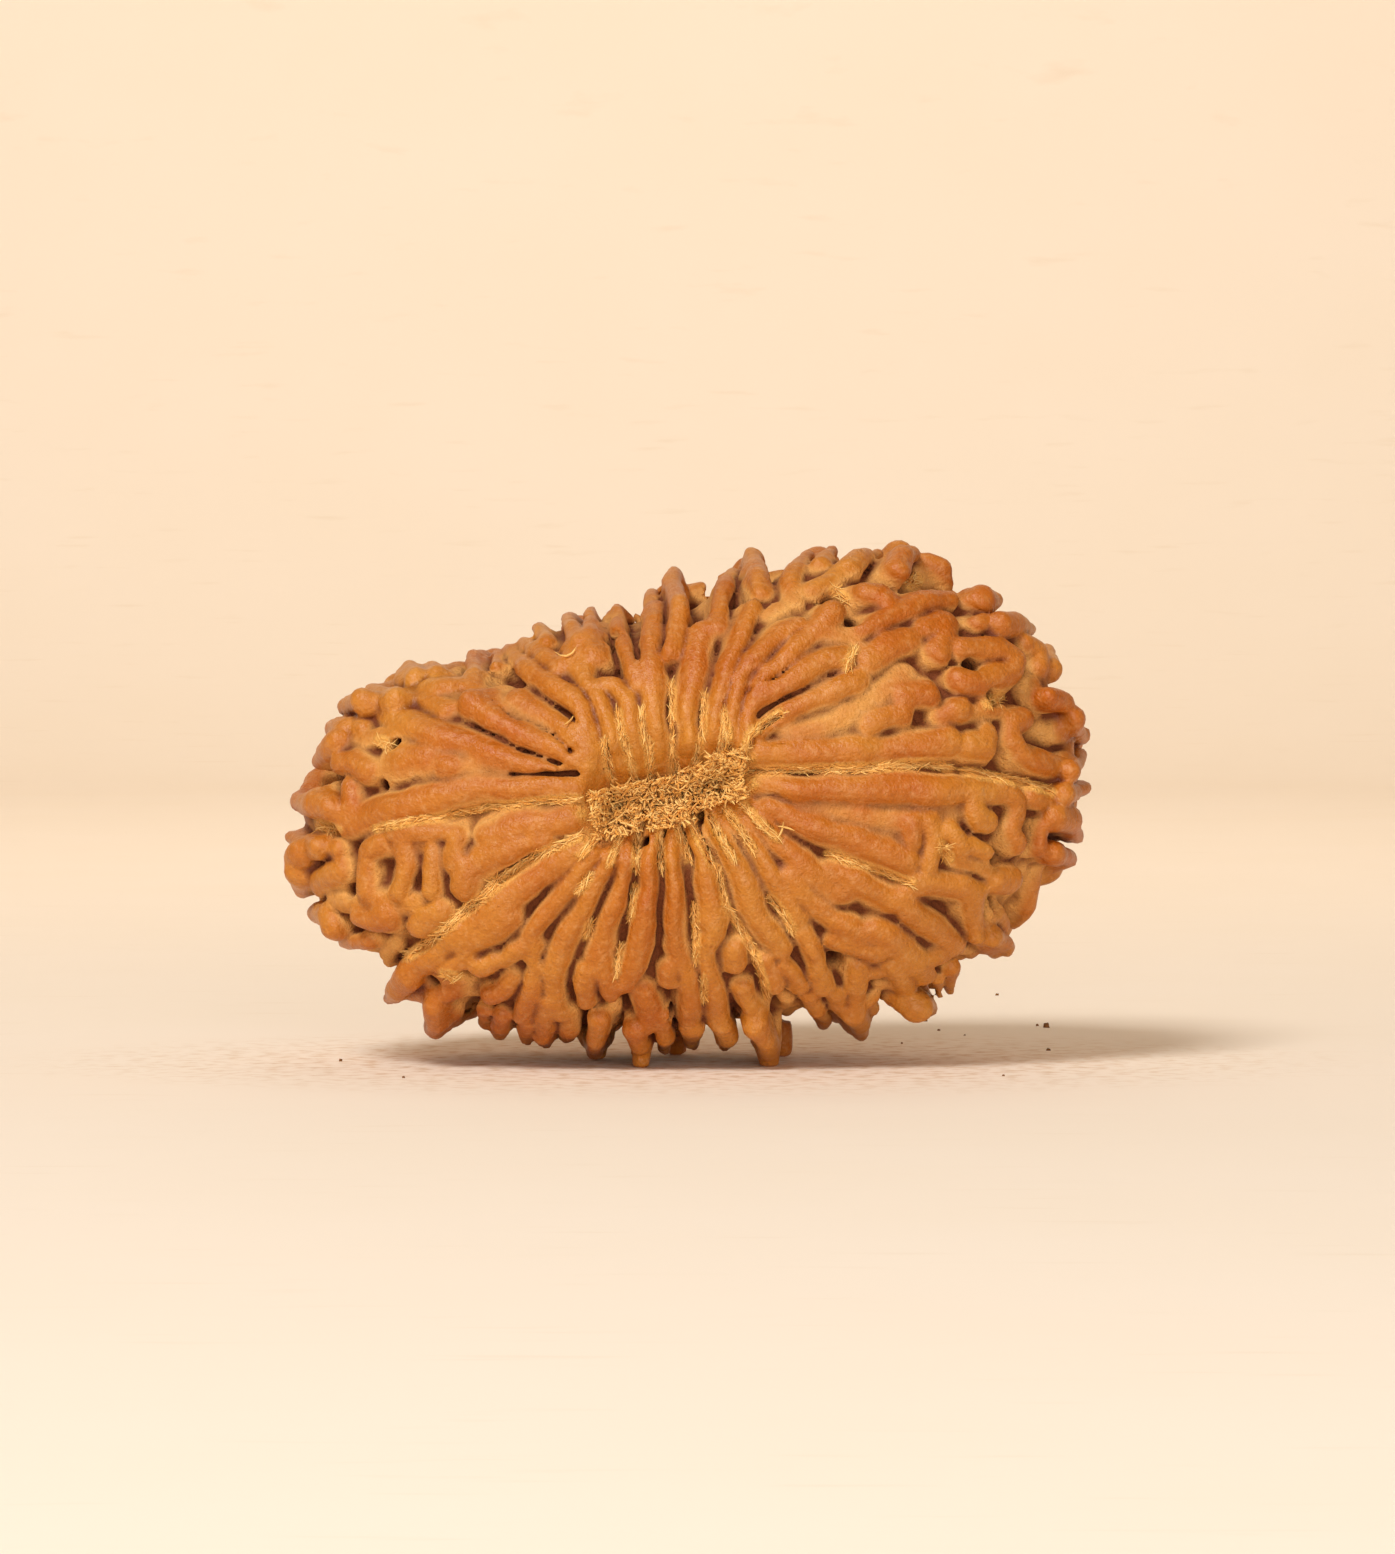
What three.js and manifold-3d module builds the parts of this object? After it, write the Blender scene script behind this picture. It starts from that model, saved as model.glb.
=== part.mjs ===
// A twenty-four mukhi rudraksha: the stone of one utrasum bead fruit, a single woody piece.
// Twenty-four grooves run from the front mouth, over the rim, to the back mouth. Between two
// grooves the wall swells into smooth ridges that break up into knobs and fingers at the rim.
// Millimetres, +Z up, with the front mouth facing -Y and the long side along X. The stone
// stands on its rim, on the small worn flats of its lowest fingers.

import * as THREE from "three";
import { mergeVertices } from "three/addons/utils/BufferGeometryUtils.js";
import Module from "manifold-3d";

// The crests of the ridges lie on one smooth shell, and the body lies under it.
const halfThickness = 9.8; // from the rim's plane to the crests of either face
const squareness = 2.35; // exponent of the shell's curve from mouth to rim: 2 is an ellipse
const mouth = { x: -0.9, z: 12.2, halfLength: 3.1, tilt: 8 }; // the slit that the grooves leave
const dimple = { depth: 1.8, from: 0.4, to: 3.0 }; // how the stone sinks towards each mouth
const depthOnFace = 0.9; // from the crests down to the body
const depthAtRim = 1.6;

// The lobes between the grooves, anticlockwise from the right as seen from the front.
// line: angle of the lobe's first groove by the mouth, rim: the same groove at the rim, in degrees.
// reach: from the mouth to the crests at the rim. ridges: smooth ridges on the back.
const lobes = [
  { line: 4, rim: -6, reach: 17.8, ridges: 2 },
  { line: 36, rim: 29, reach: 15.2, ridges: 1 },
  { line: 47, rim: 44, reach: 13.0, ridges: 1 },
  { line: 56, rim: 53, reach: 11.4, ridges: 1 },
  { line: 62.5, rim: 62, reach: 10.4, ridges: 1 },
  { line: 70.5, rim: 71, reach: 9.3, ridges: 1 },
  { line: 81, rim: 84.5, reach: 9.0, ridges: 2 },
  { line: 98, rim: 94, reach: 8.6, ridges: 1 },
  { line: 110.5, rim: 114, reach: 9.0, ridges: 1 },
  { line: 121, rim: 129, reach: 9.6, ridges: 1 },
  { line: 131.5, rim: 139, reach: 11.0, ridges: 1 },
  { line: 141.5, rim: 146, reach: 12.6, ridges: 1 },
  { line: 151.5, rim: 151, reach: 15.6, ridges: 2 },
  { line: 174, rim: 183, reach: 16.8, ridges: 2 },
  { line: 200.5, rim: 206, reach: 15.0, ridges: 1 },
  { line: 217, rim: 221, reach: 13.6, ridges: 2 },
  { line: 237, rim: 233, reach: 12.7, ridges: 1 },
  { line: 247, rim: 245, reach: 12.2, ridges: 1 },
  { line: 261, rim: 261, reach: 11.8, ridges: 1 },
  { line: 271.5, rim: 270, reach: 12.2, ridges: 2 },
  { line: 288.5, rim: 288, reach: 13.0, ridges: 2 },
  { line: 303.5, rim: 300, reach: 14.0, ridges: 1 },
  { line: 314, rim: 312, reach: 15.6, ridges: 1 },
  { line: 331, rim: 327, reach: 17.9, ridges: 2 },
];

// The ridges and knobs of the front. Each row holds the radius at its start and at its end,
// then x and z of the points that its middle runs through.
const ridges = [
  // Left of the mouth, over the groove that runs straight left
  [0.5, 0.8, -4.8, 12.5, -6.2, 12.6, -7.6, 12.4, -9.0, 12.4, -11.0, 12.0, -12.6, 11.5, -14.4, 10.8],
  [0.5, 0.75, -5.7, 13.1, -7.0, 13.5, -8.4, 13.8, -9.8, 14.2, -11.2, 14.6, -12.6, 15.1, -13.6, 15.3],
  [0.5, 0.5, -10.5, 13.3, -10.3, 13.3],
  [0.5, 0.6, -15.2, 13.3, -14.5, 13.3, -13.9, 13.1],
  [0.6, 0.6, -14.6, 12.3, -14.5, 11.5, -14.8, 10.6],
  [0.45, 0.5, -15.6, 14.7, -15.0, 14.7, -14.2, 14.7],
  // Left of the mouth, under that groove
  [0.6, 0.85, -5.1, 11.1, -6.2, 11.0, -7.4, 10.8, -8.4, 10.4],
  [0.7, 0.75, -6.3, 10.4, -7.3, 9.9, -8.2, 9.6, -8.8, 9.4],
  [0.4, 0.4, -9.9, 10.5, -10.9, 10.5, -12.0, 10.6, -12.7, 10.6],
  [0.45, 0.45, -9.9, 10.4, -10.1, 9.8, -10.0, 9.3],
  [0.55, 0.55, -9.6, 9.1, -9.5, 8.5, -9.6, 8.1],
  [0.42, 0.42, -10.9, 9.8, -11.0, 9.1, -11.1, 8.1],
  [0.45, 0.5, -12.2, 9.9, -12.1, 9.2, -12.3, 8.4, -12.5, 7.9],
  [0.5, 0.5, -13.2, 10.0, -13.9, 9.6, -13.9, 8.8, -13.9, 8.0],
  [0.45, 0.5, -15.2, 9.6, -16.2, 9.6, -17.1, 9.7],
  [0.75, 0.7, -15.9, 8.2, -15.3, 8.5, -14.9, 8.6],
  [0.6, 0.6, -14.2, 6.8, -13.5, 6.7, -12.9, 6.9],
  [0.6, 0.55, -11.6, 6.5, -11.1, 7.0, -10.7, 7.2],
  // Lower left, from the mouth to the long finger
  [0.6, 0.9, -4.7, 9.9, -5.7, 9.1, -6.7, 8.3, -7.7, 7.6, -8.7, 6.9, -9.8, 6.2],
  [0.7, 0.7, -7.6, 6.9, -8.6, 6.3, -9.6, 5.7],
  [0.6, 0.55, -10.2, 5.9, -11.0, 5.2, -11.8, 4.6, -12.3, 4.0],
  [0.5, 0.45, -9.4, 5.2, -10.0, 4.8, -10.6, 4.6],
  [0.45, 0.45, -12.2, 3.3, -11.2, 3.4, -10.4, 3.5],
  [0.45, 0.45, -8.4, 5.0, -9.0, 4.7],
  // Under the mouth, from left to right
  [0.25, 0.35, -4.1, 9.7, -4.5, 9.1, -5.1, 8.2, -5.7, 7.4, -6.3, 6.7, -6.8, 6.0],
  [0.45, 0.4, -6.8, 5.7, -7.4, 5.3, -7.9, 4.9],
  [0.4, 0.4, -6.6, 5.6, -6.7, 5.0, -6.5, 4.6],
  [0.3, 0.5, -3.4, 9.6, -3.7, 8.9, -4.1, 8.1, -4.5, 7.3, -5.0, 6.5, -5.4, 5.7, -5.7, 4.9, -5.9, 4.3],
  [0.3, 0.5, -2.65, 9.9, -2.7, 9.4, -2.8, 8.4, -3.1, 7.5, -3.5, 6.6, -3.8, 5.8, -4.0, 5.2],
  [0.25, 0.6, -1.6, 10.2, -1.7, 9.2, -1.7, 8.3, -1.75, 7.4, -1.9, 6.5, -2.1, 5.6, -2.4, 4.8, -2.9, 4.1],
  [0.6, 0.55, -2.0, 3.7, -1.8, 3.0, -1.75, 2.2],
  [0.22, 0.5, -0.85, 10.3, -0.75, 9.3, -0.6, 8.4, -0.55, 7.4, -0.55, 6.4, -0.45, 5.6],
  [0.45, 0.4, -0.3, 5.1, 0.0, 4.4, 0.1, 3.6, 0.05, 2.8, 0.1, 2.3],
  [0.4, 0.4, -0.8, 4.6, -0.8, 4.0],
  [0.22, 0.6, -0.1, 10.7, 0.3, 9.9, 0.6, 9.2, 0.85, 8.4, 0.9, 7.6, 0.85, 7.0],
  [0.5, 0.4, 1.1, 6.7, 1.1, 6.3, 0.85, 5.7],
  [0.4, 0.42, 0.8, 5.6, 0.95, 4.8, 1.15, 4.0, 1.25, 3.2, 1.3, 2.5],
  [0.22, 0.6, 0.8, 11.1, 1.3, 10.4, 1.7, 9.7, 2.1, 9.0, 2.4, 8.2, 2.7, 7.5],
  [0.55, 0.5, 2.7, 7.5, 3.1, 6.8, 3.6, 6.1, 4.0, 5.5],
  [0.6, 0.55, 2.0, 5.5, 2.1, 4.9],
  [0.5, 0.5, 2.4, 3.9, 2.6, 3.2, 2.9, 2.6],
  [0.35, 0.35, 3.4, 5.0, 3.6, 4.4, 3.8, 3.8],
  [0.28, 0.28, 4.1, 4.8, 4.5, 4.3, 4.9, 3.7],
  [0.22, 0.5, 1.7, 11.4, 2.2, 10.8, 2.8, 10.0, 3.3, 9.2, 3.8, 8.3, 4.2, 7.6, 4.7, 6.9],
  [0.5, 0.5, 5.0, 6.3, 5.3, 5.4, 5.6, 4.5, 5.9, 3.8],
  [0.4, 0.42, -4.4, 4.6, -4.5, 3.9, -4.5, 3.2],
  [0.35, 0.35, -3.8, 5.0, -3.6, 4.2, -3.5, 3.5],
  [0.45, 0.45, -5.9, 3.8, -5.8, 3.1, -5.6, 2.6],
  [0.4, 0.42, -6.2, 3.2, -6.3, 2.5, -6.3, 1.9],
  [0.4, 0.4, -6.7, 4.3, -6.8, 3.6, -7.1, 3.0, -7.3, 2.4],
  [0.5, 0.5, -7.6, 4.3, -7.9, 3.8, -8.5, 3.5],
  // Lower right, between the mouth and the low fingers
  [0.4, 0.75, 2.6, 11.6, 3.1, 11.0, 3.9, 10.1, 4.8, 9.4, 5.6, 8.7, 6.4, 8.0],
  [0.65, 0.6, 4.4, 8.8, 5.0, 8.0, 5.7, 7.3, 6.5, 6.7, 7.3, 6.2],
  [0.65, 0.6, 6.1, 9.0, 7.0, 8.6, 7.9, 8.1, 8.5, 7.8],
  [0.5, 0.45, 6.2, 5.9, 7.2, 5.7, 8.2, 5.4],
  [0.65, 0.6, 7.9, 6.4, 8.6, 6.1, 9.3, 5.5, 9.8, 4.9],
  [0.5, 0.55, 8.9, 7.9, 9.6, 7.2, 10.3, 6.6, 11.0, 6.0, 11.4, 5.5],
  [0.6, 0.6, 9.5, 8.5, 10.5, 8.3, 11.5, 8.1, 12.3, 7.8],
  [0.5, 0.45, 7.3, 4.7, 7.4, 3.8, 7.35, 2.9],
  [0.4, 0.35, 6.5, 3.4, 6.8, 2.5],
  [0.45, 0.45, 8.9, 4.9, 9.3, 4.2, 9.6, 3.7],
  [0.5, 0.45, 9.9, 4.9, 10.3, 4.1],
  [0.55, 0.5, 12.3, 7.2, 12.4, 6.4, 12.7, 6.2],
  [0.65, 0.65, 13.3, 8.4, 13.8, 8.3],
  // Right of the mouth, under the groove that runs straight right
  [0.6, 0.65, 2.9, 12.5, 4.2, 12.5, 5.6, 12.5, 7.0, 12.4, 8.4, 12.4, 9.8, 12.3, 11.2, 12.3],
  [0.5, 0.6, 3.4, 11.5, 4.6, 11.2, 5.8, 10.8, 7.0, 10.3, 8.2, 9.9, 9.2, 9.4],
  [0.6, 0.5, 11.9, 12.2, 12.8, 12.1, 13.6, 12.1, 14.1, 11.6, 14.1, 11.0, 13.9, 10.3, 14.2, 9.9],
  [0.6, 0.6, 12.1, 11.5, 12.4, 11.0, 12.8, 10.9],
  [0.4, 0.4, 12.1, 9.9, 12.8, 9.6],
  [0.4, 0.4, 11.1, 10.7, 11.5, 10.2, 11.6, 9.7],
  [0.45, 0.45, 10.35, 10.9, 10.4, 10.0, 10.2, 9.1],
  [0.4, 0.4, 9.6, 10.9, 9.6, 10.2],
  [0.5, 0.5, 14.8, 11.8, 15.6, 11.5],
  [0.4, 0.4, 15.3, 10.4, 15.3, 9.7],
  // Right of the mouth, over that groove
  [0.6, 0.65, 3.0, 14.0, 4.4, 14.1, 5.8, 14.1, 7.2, 14.1, 8.6, 14.1, 10.0, 14.3, 11.0, 14.3],
  [0.65, 0.65, 11.9, 14.1, 12.7, 14.1, 12.8, 14.5],
  [0.35, 0.6, 2.9, 14.8, 3.6, 15.4, 4.5, 16.0, 5.5, 16.4, 6.4, 16.8, 7.2, 17.0],
  [0.55, 0.6, 7.8, 15.1, 8.6, 15.4, 9.2, 15.6],
  [0.7, 0.7, 9.3, 16.3, 10.1, 16.3],
  [0.55, 0.55, 11.4, 15.6, 11.6, 15.6],
  [0.6, 0.6, 14.6, 15.2, 13.9, 15.1, 13.9, 14.4, 14.3, 13.7, 15.2, 13.3, 16.0, 13.0, 16.4, 13.6,
    16.4, 14.4, 16.0, 14.9],
  [0.55, 0.6, 11.7, 18.3, 12.6, 18.3, 13.4, 18.2, 14.0, 17.8, 13.9, 17.3, 13.2, 17.1, 12.4, 16.9,
    11.6, 16.9],
  [0.5, 0.5, 14.6, 18.6, 15.2, 18.1, 15.3, 17.4],
  [0.45, 0.45, 12.3, 19.4, 12.6, 19.5],
  // Over the mouth, from right to left
  [0.4, 0.6, 2.9, 16.3, 3.8, 16.8, 4.8, 17.4, 5.8, 18.0, 6.5, 18.0],
  [0.4, 0.6, 3.4, 17.5, 4.3, 18.2, 5.2, 19.0, 5.9, 19.7, 6.2, 19.9],
  [0.3, 0.5, 2.2, 17.2, 2.8, 18.0, 3.4, 18.7, 4.1, 19.2, 4.6, 19.4],
  [0.25, 0.45, 2.2, 14.2, 2.4, 14.9, 2.55, 15.6, 2.8, 16.3, 3.1, 16.9, 3.5, 17.4],
  [0.22, 0.35, 1.5, 13.9, 1.7, 14.7, 1.8, 15.5, 2.0, 16.3, 2.2, 17.0],
  [0.2, 0.4, 0.9, 13.9, 1.0, 14.7, 1.05, 15.5, 1.2, 16.3, 1.45, 17.1, 1.75, 17.9, 2.05, 18.7,
    2.4, 19.5, 2.8, 20.2],
  [0.3, 0.6, 0.1, 13.6, 0.1, 14.6, 0.0, 15.5, 0.1, 16.4, 0.3, 17.3, 0.4, 18.2, 0.6, 19.0],
  [0.3, 0.6, -1.2, 13.4, -1.3, 14.2, -1.35, 15.0, -1.45, 15.9, -1.5, 16.8, -1.5, 17.7, -1.45, 18.6],
  [0.22, 0.45, -1.95, 13.4, -2.2, 14.0, -2.4, 14.8, -2.6, 15.6, -2.7, 16.3, -3.2, 16.8, -3.7, 16.8],
  [0.22, 0.45, -3.0, 13.3, -3.3, 14.3, -3.5, 15.1, -3.7, 15.8, -4.0, 16.4,
    -4.4, 16.9, -4.8, 17.4, -5.3, 17.7],
  [0.45, 0.6, -4.4, 13.1, -4.35, 13.9, -4.4, 14.6],
  [0.4, 0.55, -4.8, 14.3, -5.3, 15.0, -6.0, 15.5, -6.8, 15.9, -7.4, 16.2],
  [0.4, 0.7, -4.9, 13.5, -5.6, 14.0, -6.4, 14.5, -7.3, 14.9, -8.3, 15.3, -9.2, 15.8],
  [0.45, 0.45, -10.4, 15.6, -11.3, 16.0, -12.2, 16.3],
  [0.5, 0.5, -10.6, 16.5, -11.4, 16.5],
  [0.45, 0.4, -4.5, 17.4, -4.9, 17.9, -5.2, 18.3],
  [0.5, 0.5, 7.5, 20.8, 8.1, 20.7, 8.5, 20.3],
  [0.5, 0.5, 7.4, 19.2, 8.2, 19.5, 9.1, 19.9, 10.1, 20.3, 11.2, 20.5],
  [0.7, 0.7, 7.7, 17.8, 8.6, 18.3, 9.4, 18.6],
  [0.6, 0.65, 10.1, 19.1, 11.0, 19.4, 10.9, 18.7, 10.6, 18.1],
  [0.5, 0.5, 5.3, 20.9, 6.2, 21.3, 7.0, 21.8],
];

// The fingers that make the outline, anticlockwise from the right, written the same way. The last
// point of each is its tip, from where a row of knobs runs on over the rim to the back.
const fingers = [
  [0.45, 0.45, 16.3, 11.9, 17.35, 12.05],
  [0.45, 0.45, 16.6, 12.9, 17.3, 13.5],
  [0.45, 0.45, 16.9, 15.3, 17.4, 14.5],
  [0.45, 0.45, 15.6, 16.2, 16.4, 16.0, 17.0, 15.2],
  [0.45, 0.45, 15.9, 17.3, 15.9, 18.0],
  [0.55, 0.5, 13.4, 19.3, 14.3, 19.4, 15.0, 19.1],
  [0.6, 0.55, 12.6, 20.4, 13.4, 20.4],
  [0.5, 0.5, 10.5, 21.9, 11.1, 21.7, 11.25, 21.0],
  [0.55, 0.55, 9.0, 21.7, 9.3, 22.4, 9.7, 22.4],
  [0.5, 0.5, 7.0, 21.8, 7.4, 22.3, 8.0, 22.35],
  [0.45, 0.45, 5.8, 21.9, 6.25, 22.5],
  [0.5, 0.5, 4.5, 20.4, 4.5, 21.2, 4.8, 21.8, 5.15, 22.3],
  [0.5, 0.5, 3.2, 20.6, 3.1, 21.4, 2.95, 22.2],
  [0.4, 0.45, 1.1, 19.2, 1.3, 20.0, 1.6, 20.9, 1.85, 21.4],
  [0.4, 0.5, -0.6, 18.4, -0.4, 19.2, -0.5, 20.2, -0.65, 21.4],
  [0.5, 0.5, -1.45, 18.6, -1.5, 19.5, -1.65, 20.45],
  [0.35, 0.4, -2.1, 16.9, -2.4, 17.6, -2.7, 18.3, -2.9, 19.0, -3.2, 19.9],
  [0.4, 0.4, -3.7, 17.8, -3.7, 18.6, -3.6, 19.6],
  [0.45, 0.45, -4.1, 18.0, -4.2, 18.9, -4.4, 19.8],
  [0.4, 0.42, -4.7, 18.5, -5.1, 19.1, -5.3, 19.55],
  [0.4, 0.4, -5.4, 18.3, -5.6, 18.7],
  [0.4, 0.45, -6.2, 18.6, -6.5, 19.1],
  [0.45, 0.42, -5.6, 17.5, -6.3, 18.0, -6.9, 18.3, -7.2, 18.4],
  [0.5, 0.42, -4.4, 14.8, -4.6, 15.6, -5.1, 16.2, -5.8, 16.7, -6.5, 17.1, -7.2, 17.5, -7.9, 18.15],
  [0.3, 0.3, -8.4, 17.5, -8.5, 18.0],
  [0.6, 0.45, -9.2, 16.2, -9.4, 17.0, -9.6, 17.9],
  [0.4, 0.4, -10.3, 16.8, -10.3, 17.15],
  [0.4, 0.38, -11.0, 17.1, -11.35, 17.45],
  [0.4, 0.4, -12.0, 17.0, -12.3, 17.5],
  [0.35, 0.35, -12.4, 16.8, -12.6, 17.2],
  [0.6, 0.6, -12.8, 16.0, -13.9, 16.3],
  [0.6, 0.6, -14.2, 15.9, -15.0, 15.75],
  [0.45, 0.45, -15.0, 14.7, -15.6, 14.7],
  [0.55, 0.5, -15.3, 14.2, -15.7, 13.8, -16.2, 13.35],
  [0.6, 0.7, -15.5, 11.3, -16.2, 11.6, -17.0, 11.5],
  [0.45, 0.6, -16.2, 9.6, -17.3, 9.8],
  [0.6, 0.65, -17.0, 9.4, -17.3, 8.8],
  [0.6, 0.65, -17.0, 8.6, -17.1, 8.0],
  [0.6, 0.6, -15.4, 6.2, -15.7, 6.8, -16.3, 6.8],
  [0.45, 0.45, -13.8, 5.7, -14.4, 5.6, -15.1, 5.5],
  [0.45, 0.4, -12.6, 5.7, -13.0, 5.1, -13.2, 4.6],
  [0.5, 0.5, -12.1, 4.2, -12.8, 3.4, -13.15, 2.9],
  [0.5, 0.5, -11.1, 2.9, -11.1, 2.0, -11.35, 1.45],
  [0.55, 0.55, -9.9, 3.7, -10.0, 2.85],
  [0.35, 0.35, -8.8, 2.7, -9.0, 1.75],
  [0.4, 0.4, -8.0, 2.6, -8.2, 1.9, -8.3, 1.4],
  [0.4, 0.4, -7.0, 2.2, -7.15, 1.1],
  [0.38, 0.38, -6.3, 1.6, -6.35, 0.95],
  [0.4, 0.45, -5.2, 2.8, -5.2, 1.9, -5.3, 1.2],
  [0.4, 0.5, -4.0, 2.4, -4.1, 1.3, -4.15, 0.5],
  [0.4, 0.42, -3.3, 3.3, -3.4, 2.5, -3.45, 1.8],
  [0.45, 0.5, -2.4, 1.9, -2.15, 1.1, -2.1, 0.45],
  [0.35, 0.42, -1.1, 2.4, -1.0, 1.5, -1.0, 0.7],
  [0.42, 0.42, 0.2, 1.9, 0.2, 0.85],
  [0.42, 0.42, 1.35, 2.1, 1.6, 1.4, 1.6, 0.8],
  [0.5, 0.5, 2.8, 2.0, 3.2, 1.4, 3.4, 0.8, 3.45, 0.45],
  [0.42, 0.42, 4.2, 3.3, 4.35, 2.3],
  [0.35, 0.4, 5.4, 3.3, 5.7, 2.5, 5.95, 1.65],
  [0.5, 0.5, 7.3, 2.5, 7.5, 1.4],
  [0.4, 0.42, 7.95, 3.2, 7.8, 2.0],
  [0.4, 0.4, 8.3, 4.2, 8.6, 3.5, 8.5, 2.95],
  [0.6, 0.6, 9.9, 2.8, 10.5, 2.55],
  [0.3, 0.3, 10.8, 3.9, 11.1, 3.15],
  [0.42, 0.42, 11.4, 4.5, 11.6, 3.4],
  [0.4, 0.4, 10.6, 5.1, 11.6, 5.4, 12.5, 4.9],
  [0.4, 0.42, 12.5, 5.9, 13.5, 4.85],
  [0.4, 0.4, 13.3, 5.7, 14.05, 4.9],
  [0.6, 0.55, 15.0, 8.9, 14.9, 7.9, 14.7, 7.0, 14.45, 6.25],
  [0.5, 0.45, 15.9, 9.4, 16.7, 9.05],
  [0.6, 0.55, 15.9, 10.9, 16.8, 10.8, 17.1, 10.1],
];

// Low ground between ridges, a little under the crests, written the same way
const valleyDepth = 0.5;
const valleys = [
  [0.6, 1.3, -6.5, 13.1, -8.0, 13.2, -9.5, 13.4, -11.0, 13.3, -12.4, 13.2],
  [0.6, 0.6, -14.8, 14.0, -13.8, 14.2, -12.8, 14.4],
  [0.6, 0.6, -16.4, 10.9, -15.6, 10.5],
  [0.6, 0.6, -15.3, 7.5, -14.6, 7.3, -13.2, 7.6, -12.2, 7.4, -11.6, 7.6],
  [0.4, 0.4, -12.9, 9.9, -12.0, 10.0, -11.0, 10.0],
  [0.5, 0.5, -11.5, 3.9, -10.8, 4.3, -10.0, 4.1],
  [0.6, 1.0, 4.6, 11.9, 6.2, 11.6, 7.8, 11.2, 9.4, 11.0, 10.8, 11.2],
  [0.6, 1.2, 4.0, 14.8, 5.4, 15.1, 6.8, 15.6, 8.0, 16.1, 9.0, 16.7],
  [0.5, 0.5, 5.8, 18.9, 6.7, 18.8, 7.4, 18.3],
  [0.5, 0.5, 3.9, 20.0, 3.3, 19.6],
  [0.5, 0.5, 6.0, 22.0, 5.6, 21.6],
  [0.5, 0.5, 12.6, 15.8, 13.2, 15.6, 10.6, 15.3],
  [0.5, 0.5, 14.9, 16.6, 15.4, 16.2, 15.2, 17.2],
  [0.5, 0.5, 13.3, 6.9, 13.6, 6.2],
  [0.5, 0.5, 7.0, 4.9, 8.2, 4.6],
  [0.5, 0.5, 11.4, 9.2, 12.6, 8.9],
  [0.5, 0.5, 9.2, 10.0, 9.3, 8.9],
];

// Hollows sunk into the knobs of the front, from just under the crests down: radius, x and z
const hollowTop = 0.3;
const hollowDepth = 1.6;
const hollowTaper = 0.7;
const hollows = [
  [0.3, -13.0, 14.3],
  [0.3, -13.5, 12.5],
  [0.35, -14.9, 7.7],
  [0.35, -9.7, 4.2],
  [0.3, -11.2, 3.9],
  [0.35, -4.75, 19.5],
  [0.35, -3.3, 18.9],
  [0.4, 7.1, 19.8],
  [0.45, 6.5, 20.8],
  [0.35, 9.9, 21.3],
  [0.45, 12.3, 17.7],
  [0.5, 13.3, 16.2],
  [0.3, 15.1, 14.15],
  [0.35, 13.5, 9.3],
  [0.4, 13.8, 6.8],
  [0.45, 6.5, 4.7],
  [0.35, -0.8, 2.4],
];

// Each ridge is a wall under its crest: how much lower each layer lies, and its share of the width.
const ridgeWall = [
  { more: 0, share: 1 },
  { more: 0.5, share: 1.12 },
  { more: 1.2, share: 1.3 },
];
const steepWall = [
  { more: 0, share: 1 },
  { more: 0.7, share: 0.95 },
  { more: 1.4, share: 0.9 },
];

// The relief of the rim and the back
const rowGap = 1.75; // least distance between the rows of knobs at the rim
const knobPitch = 2.3; // from knob to knob along a row
const knobRadius = { least: 0.75, most: 1.0 };
const knobFoot = 0.95; // a knob's radius at its foot, as a share of that at its top
const knobSag = 0.4; // how far at most a knob's top lies under the crests
const rowEnd = 1.56; // where the rows of knobs stop, as a way over the rim
const lowWall = { height: 0.6, radius: 0.8 }; // walls between knobs, as shares of the knobs' own
const wallChance = { inRow: 0.6, acrossRows: 0.35 };
const ridgeFullness = 1.15; // a front ridge's radius below its crest, against that of the crest
const knobStray = { alongRow: 0.15, sideways: 0.06, lean: 0.05 }; // as shares of the pitch or lobe
const roundness = 0.8; // the way over a quarter of the shell, against its reach and its rise
const backRidge = { from: 1.94, to: 1.5, radius: 1.2, share: 0.46 }; // share of its row's width
const blend = 0.4; // radius of the fillets where one swelling meets the next
const ridgeSteps = 7; // straight pieces in a ridge of the back
const grooveSteps = 30;
const groove = { radius: 0.25, depths: [0.8, 1.3], from: 1.1, to: 1.92 };

// The lowest fingers, which carry the stone: x, y and radius
const footWear = 0.18; // how much of each tip is worn off
const ground = { width: 60, thickness: 10 }; // the block that the tips are worn on
const footTop = { z: 3.4, radius: 1.1, inward: 0.95 }; // where a foot grows out of the stone
const feet = [
  [-2.1, -3.4, 0.6],
  [3.5, -2.8, 0.6],
  [-4.1, 1.2, 0.55],
  [-0.6, 3.9, 0.6],
  [4.2, 2.6, 0.6],
];

// The surface mesh
const cell = 0.38;
const triangles = 11700;
const backWeight = 0.3; // how much the back's shape counts against the front's when it's thinned
const edgeCost = 1e-5; // what an edge's own length adds to the cost of closing it
const leastRoundness = 0.08; // of a triangle, where 1 has three equal sides
const leastFacing = 0.2; // cosine of the most that a face may turn
const weld = 1e-5; // points closer than this are one
const tiny = 1e-9; // keeps a division from being by nothing
const leastRise = 0.001; // of a crest over the rim's plane
const nearEnd = 0.05; // a crossing keeps this share of its edge from either end
const coreShare = 0.05; // the body's distance isn't worked out nearer its middle than this
const frontEnds = 2; // y behind which the surface counts as the back
const leastDeterminant = 1e-7; // below it, three planes have no certain common point

// Draws the same numbers every run
let drawn = 24;
function draw(low, high) {
  drawn = (drawn * 16807) % 2147483647;
  return low + ((high - low) * drawn) / 2147483647;
}

function stray(most) {
  return draw(-most, most);
}

function mix(a, b, share) {
  return a + (b - a) * share;
}

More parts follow.
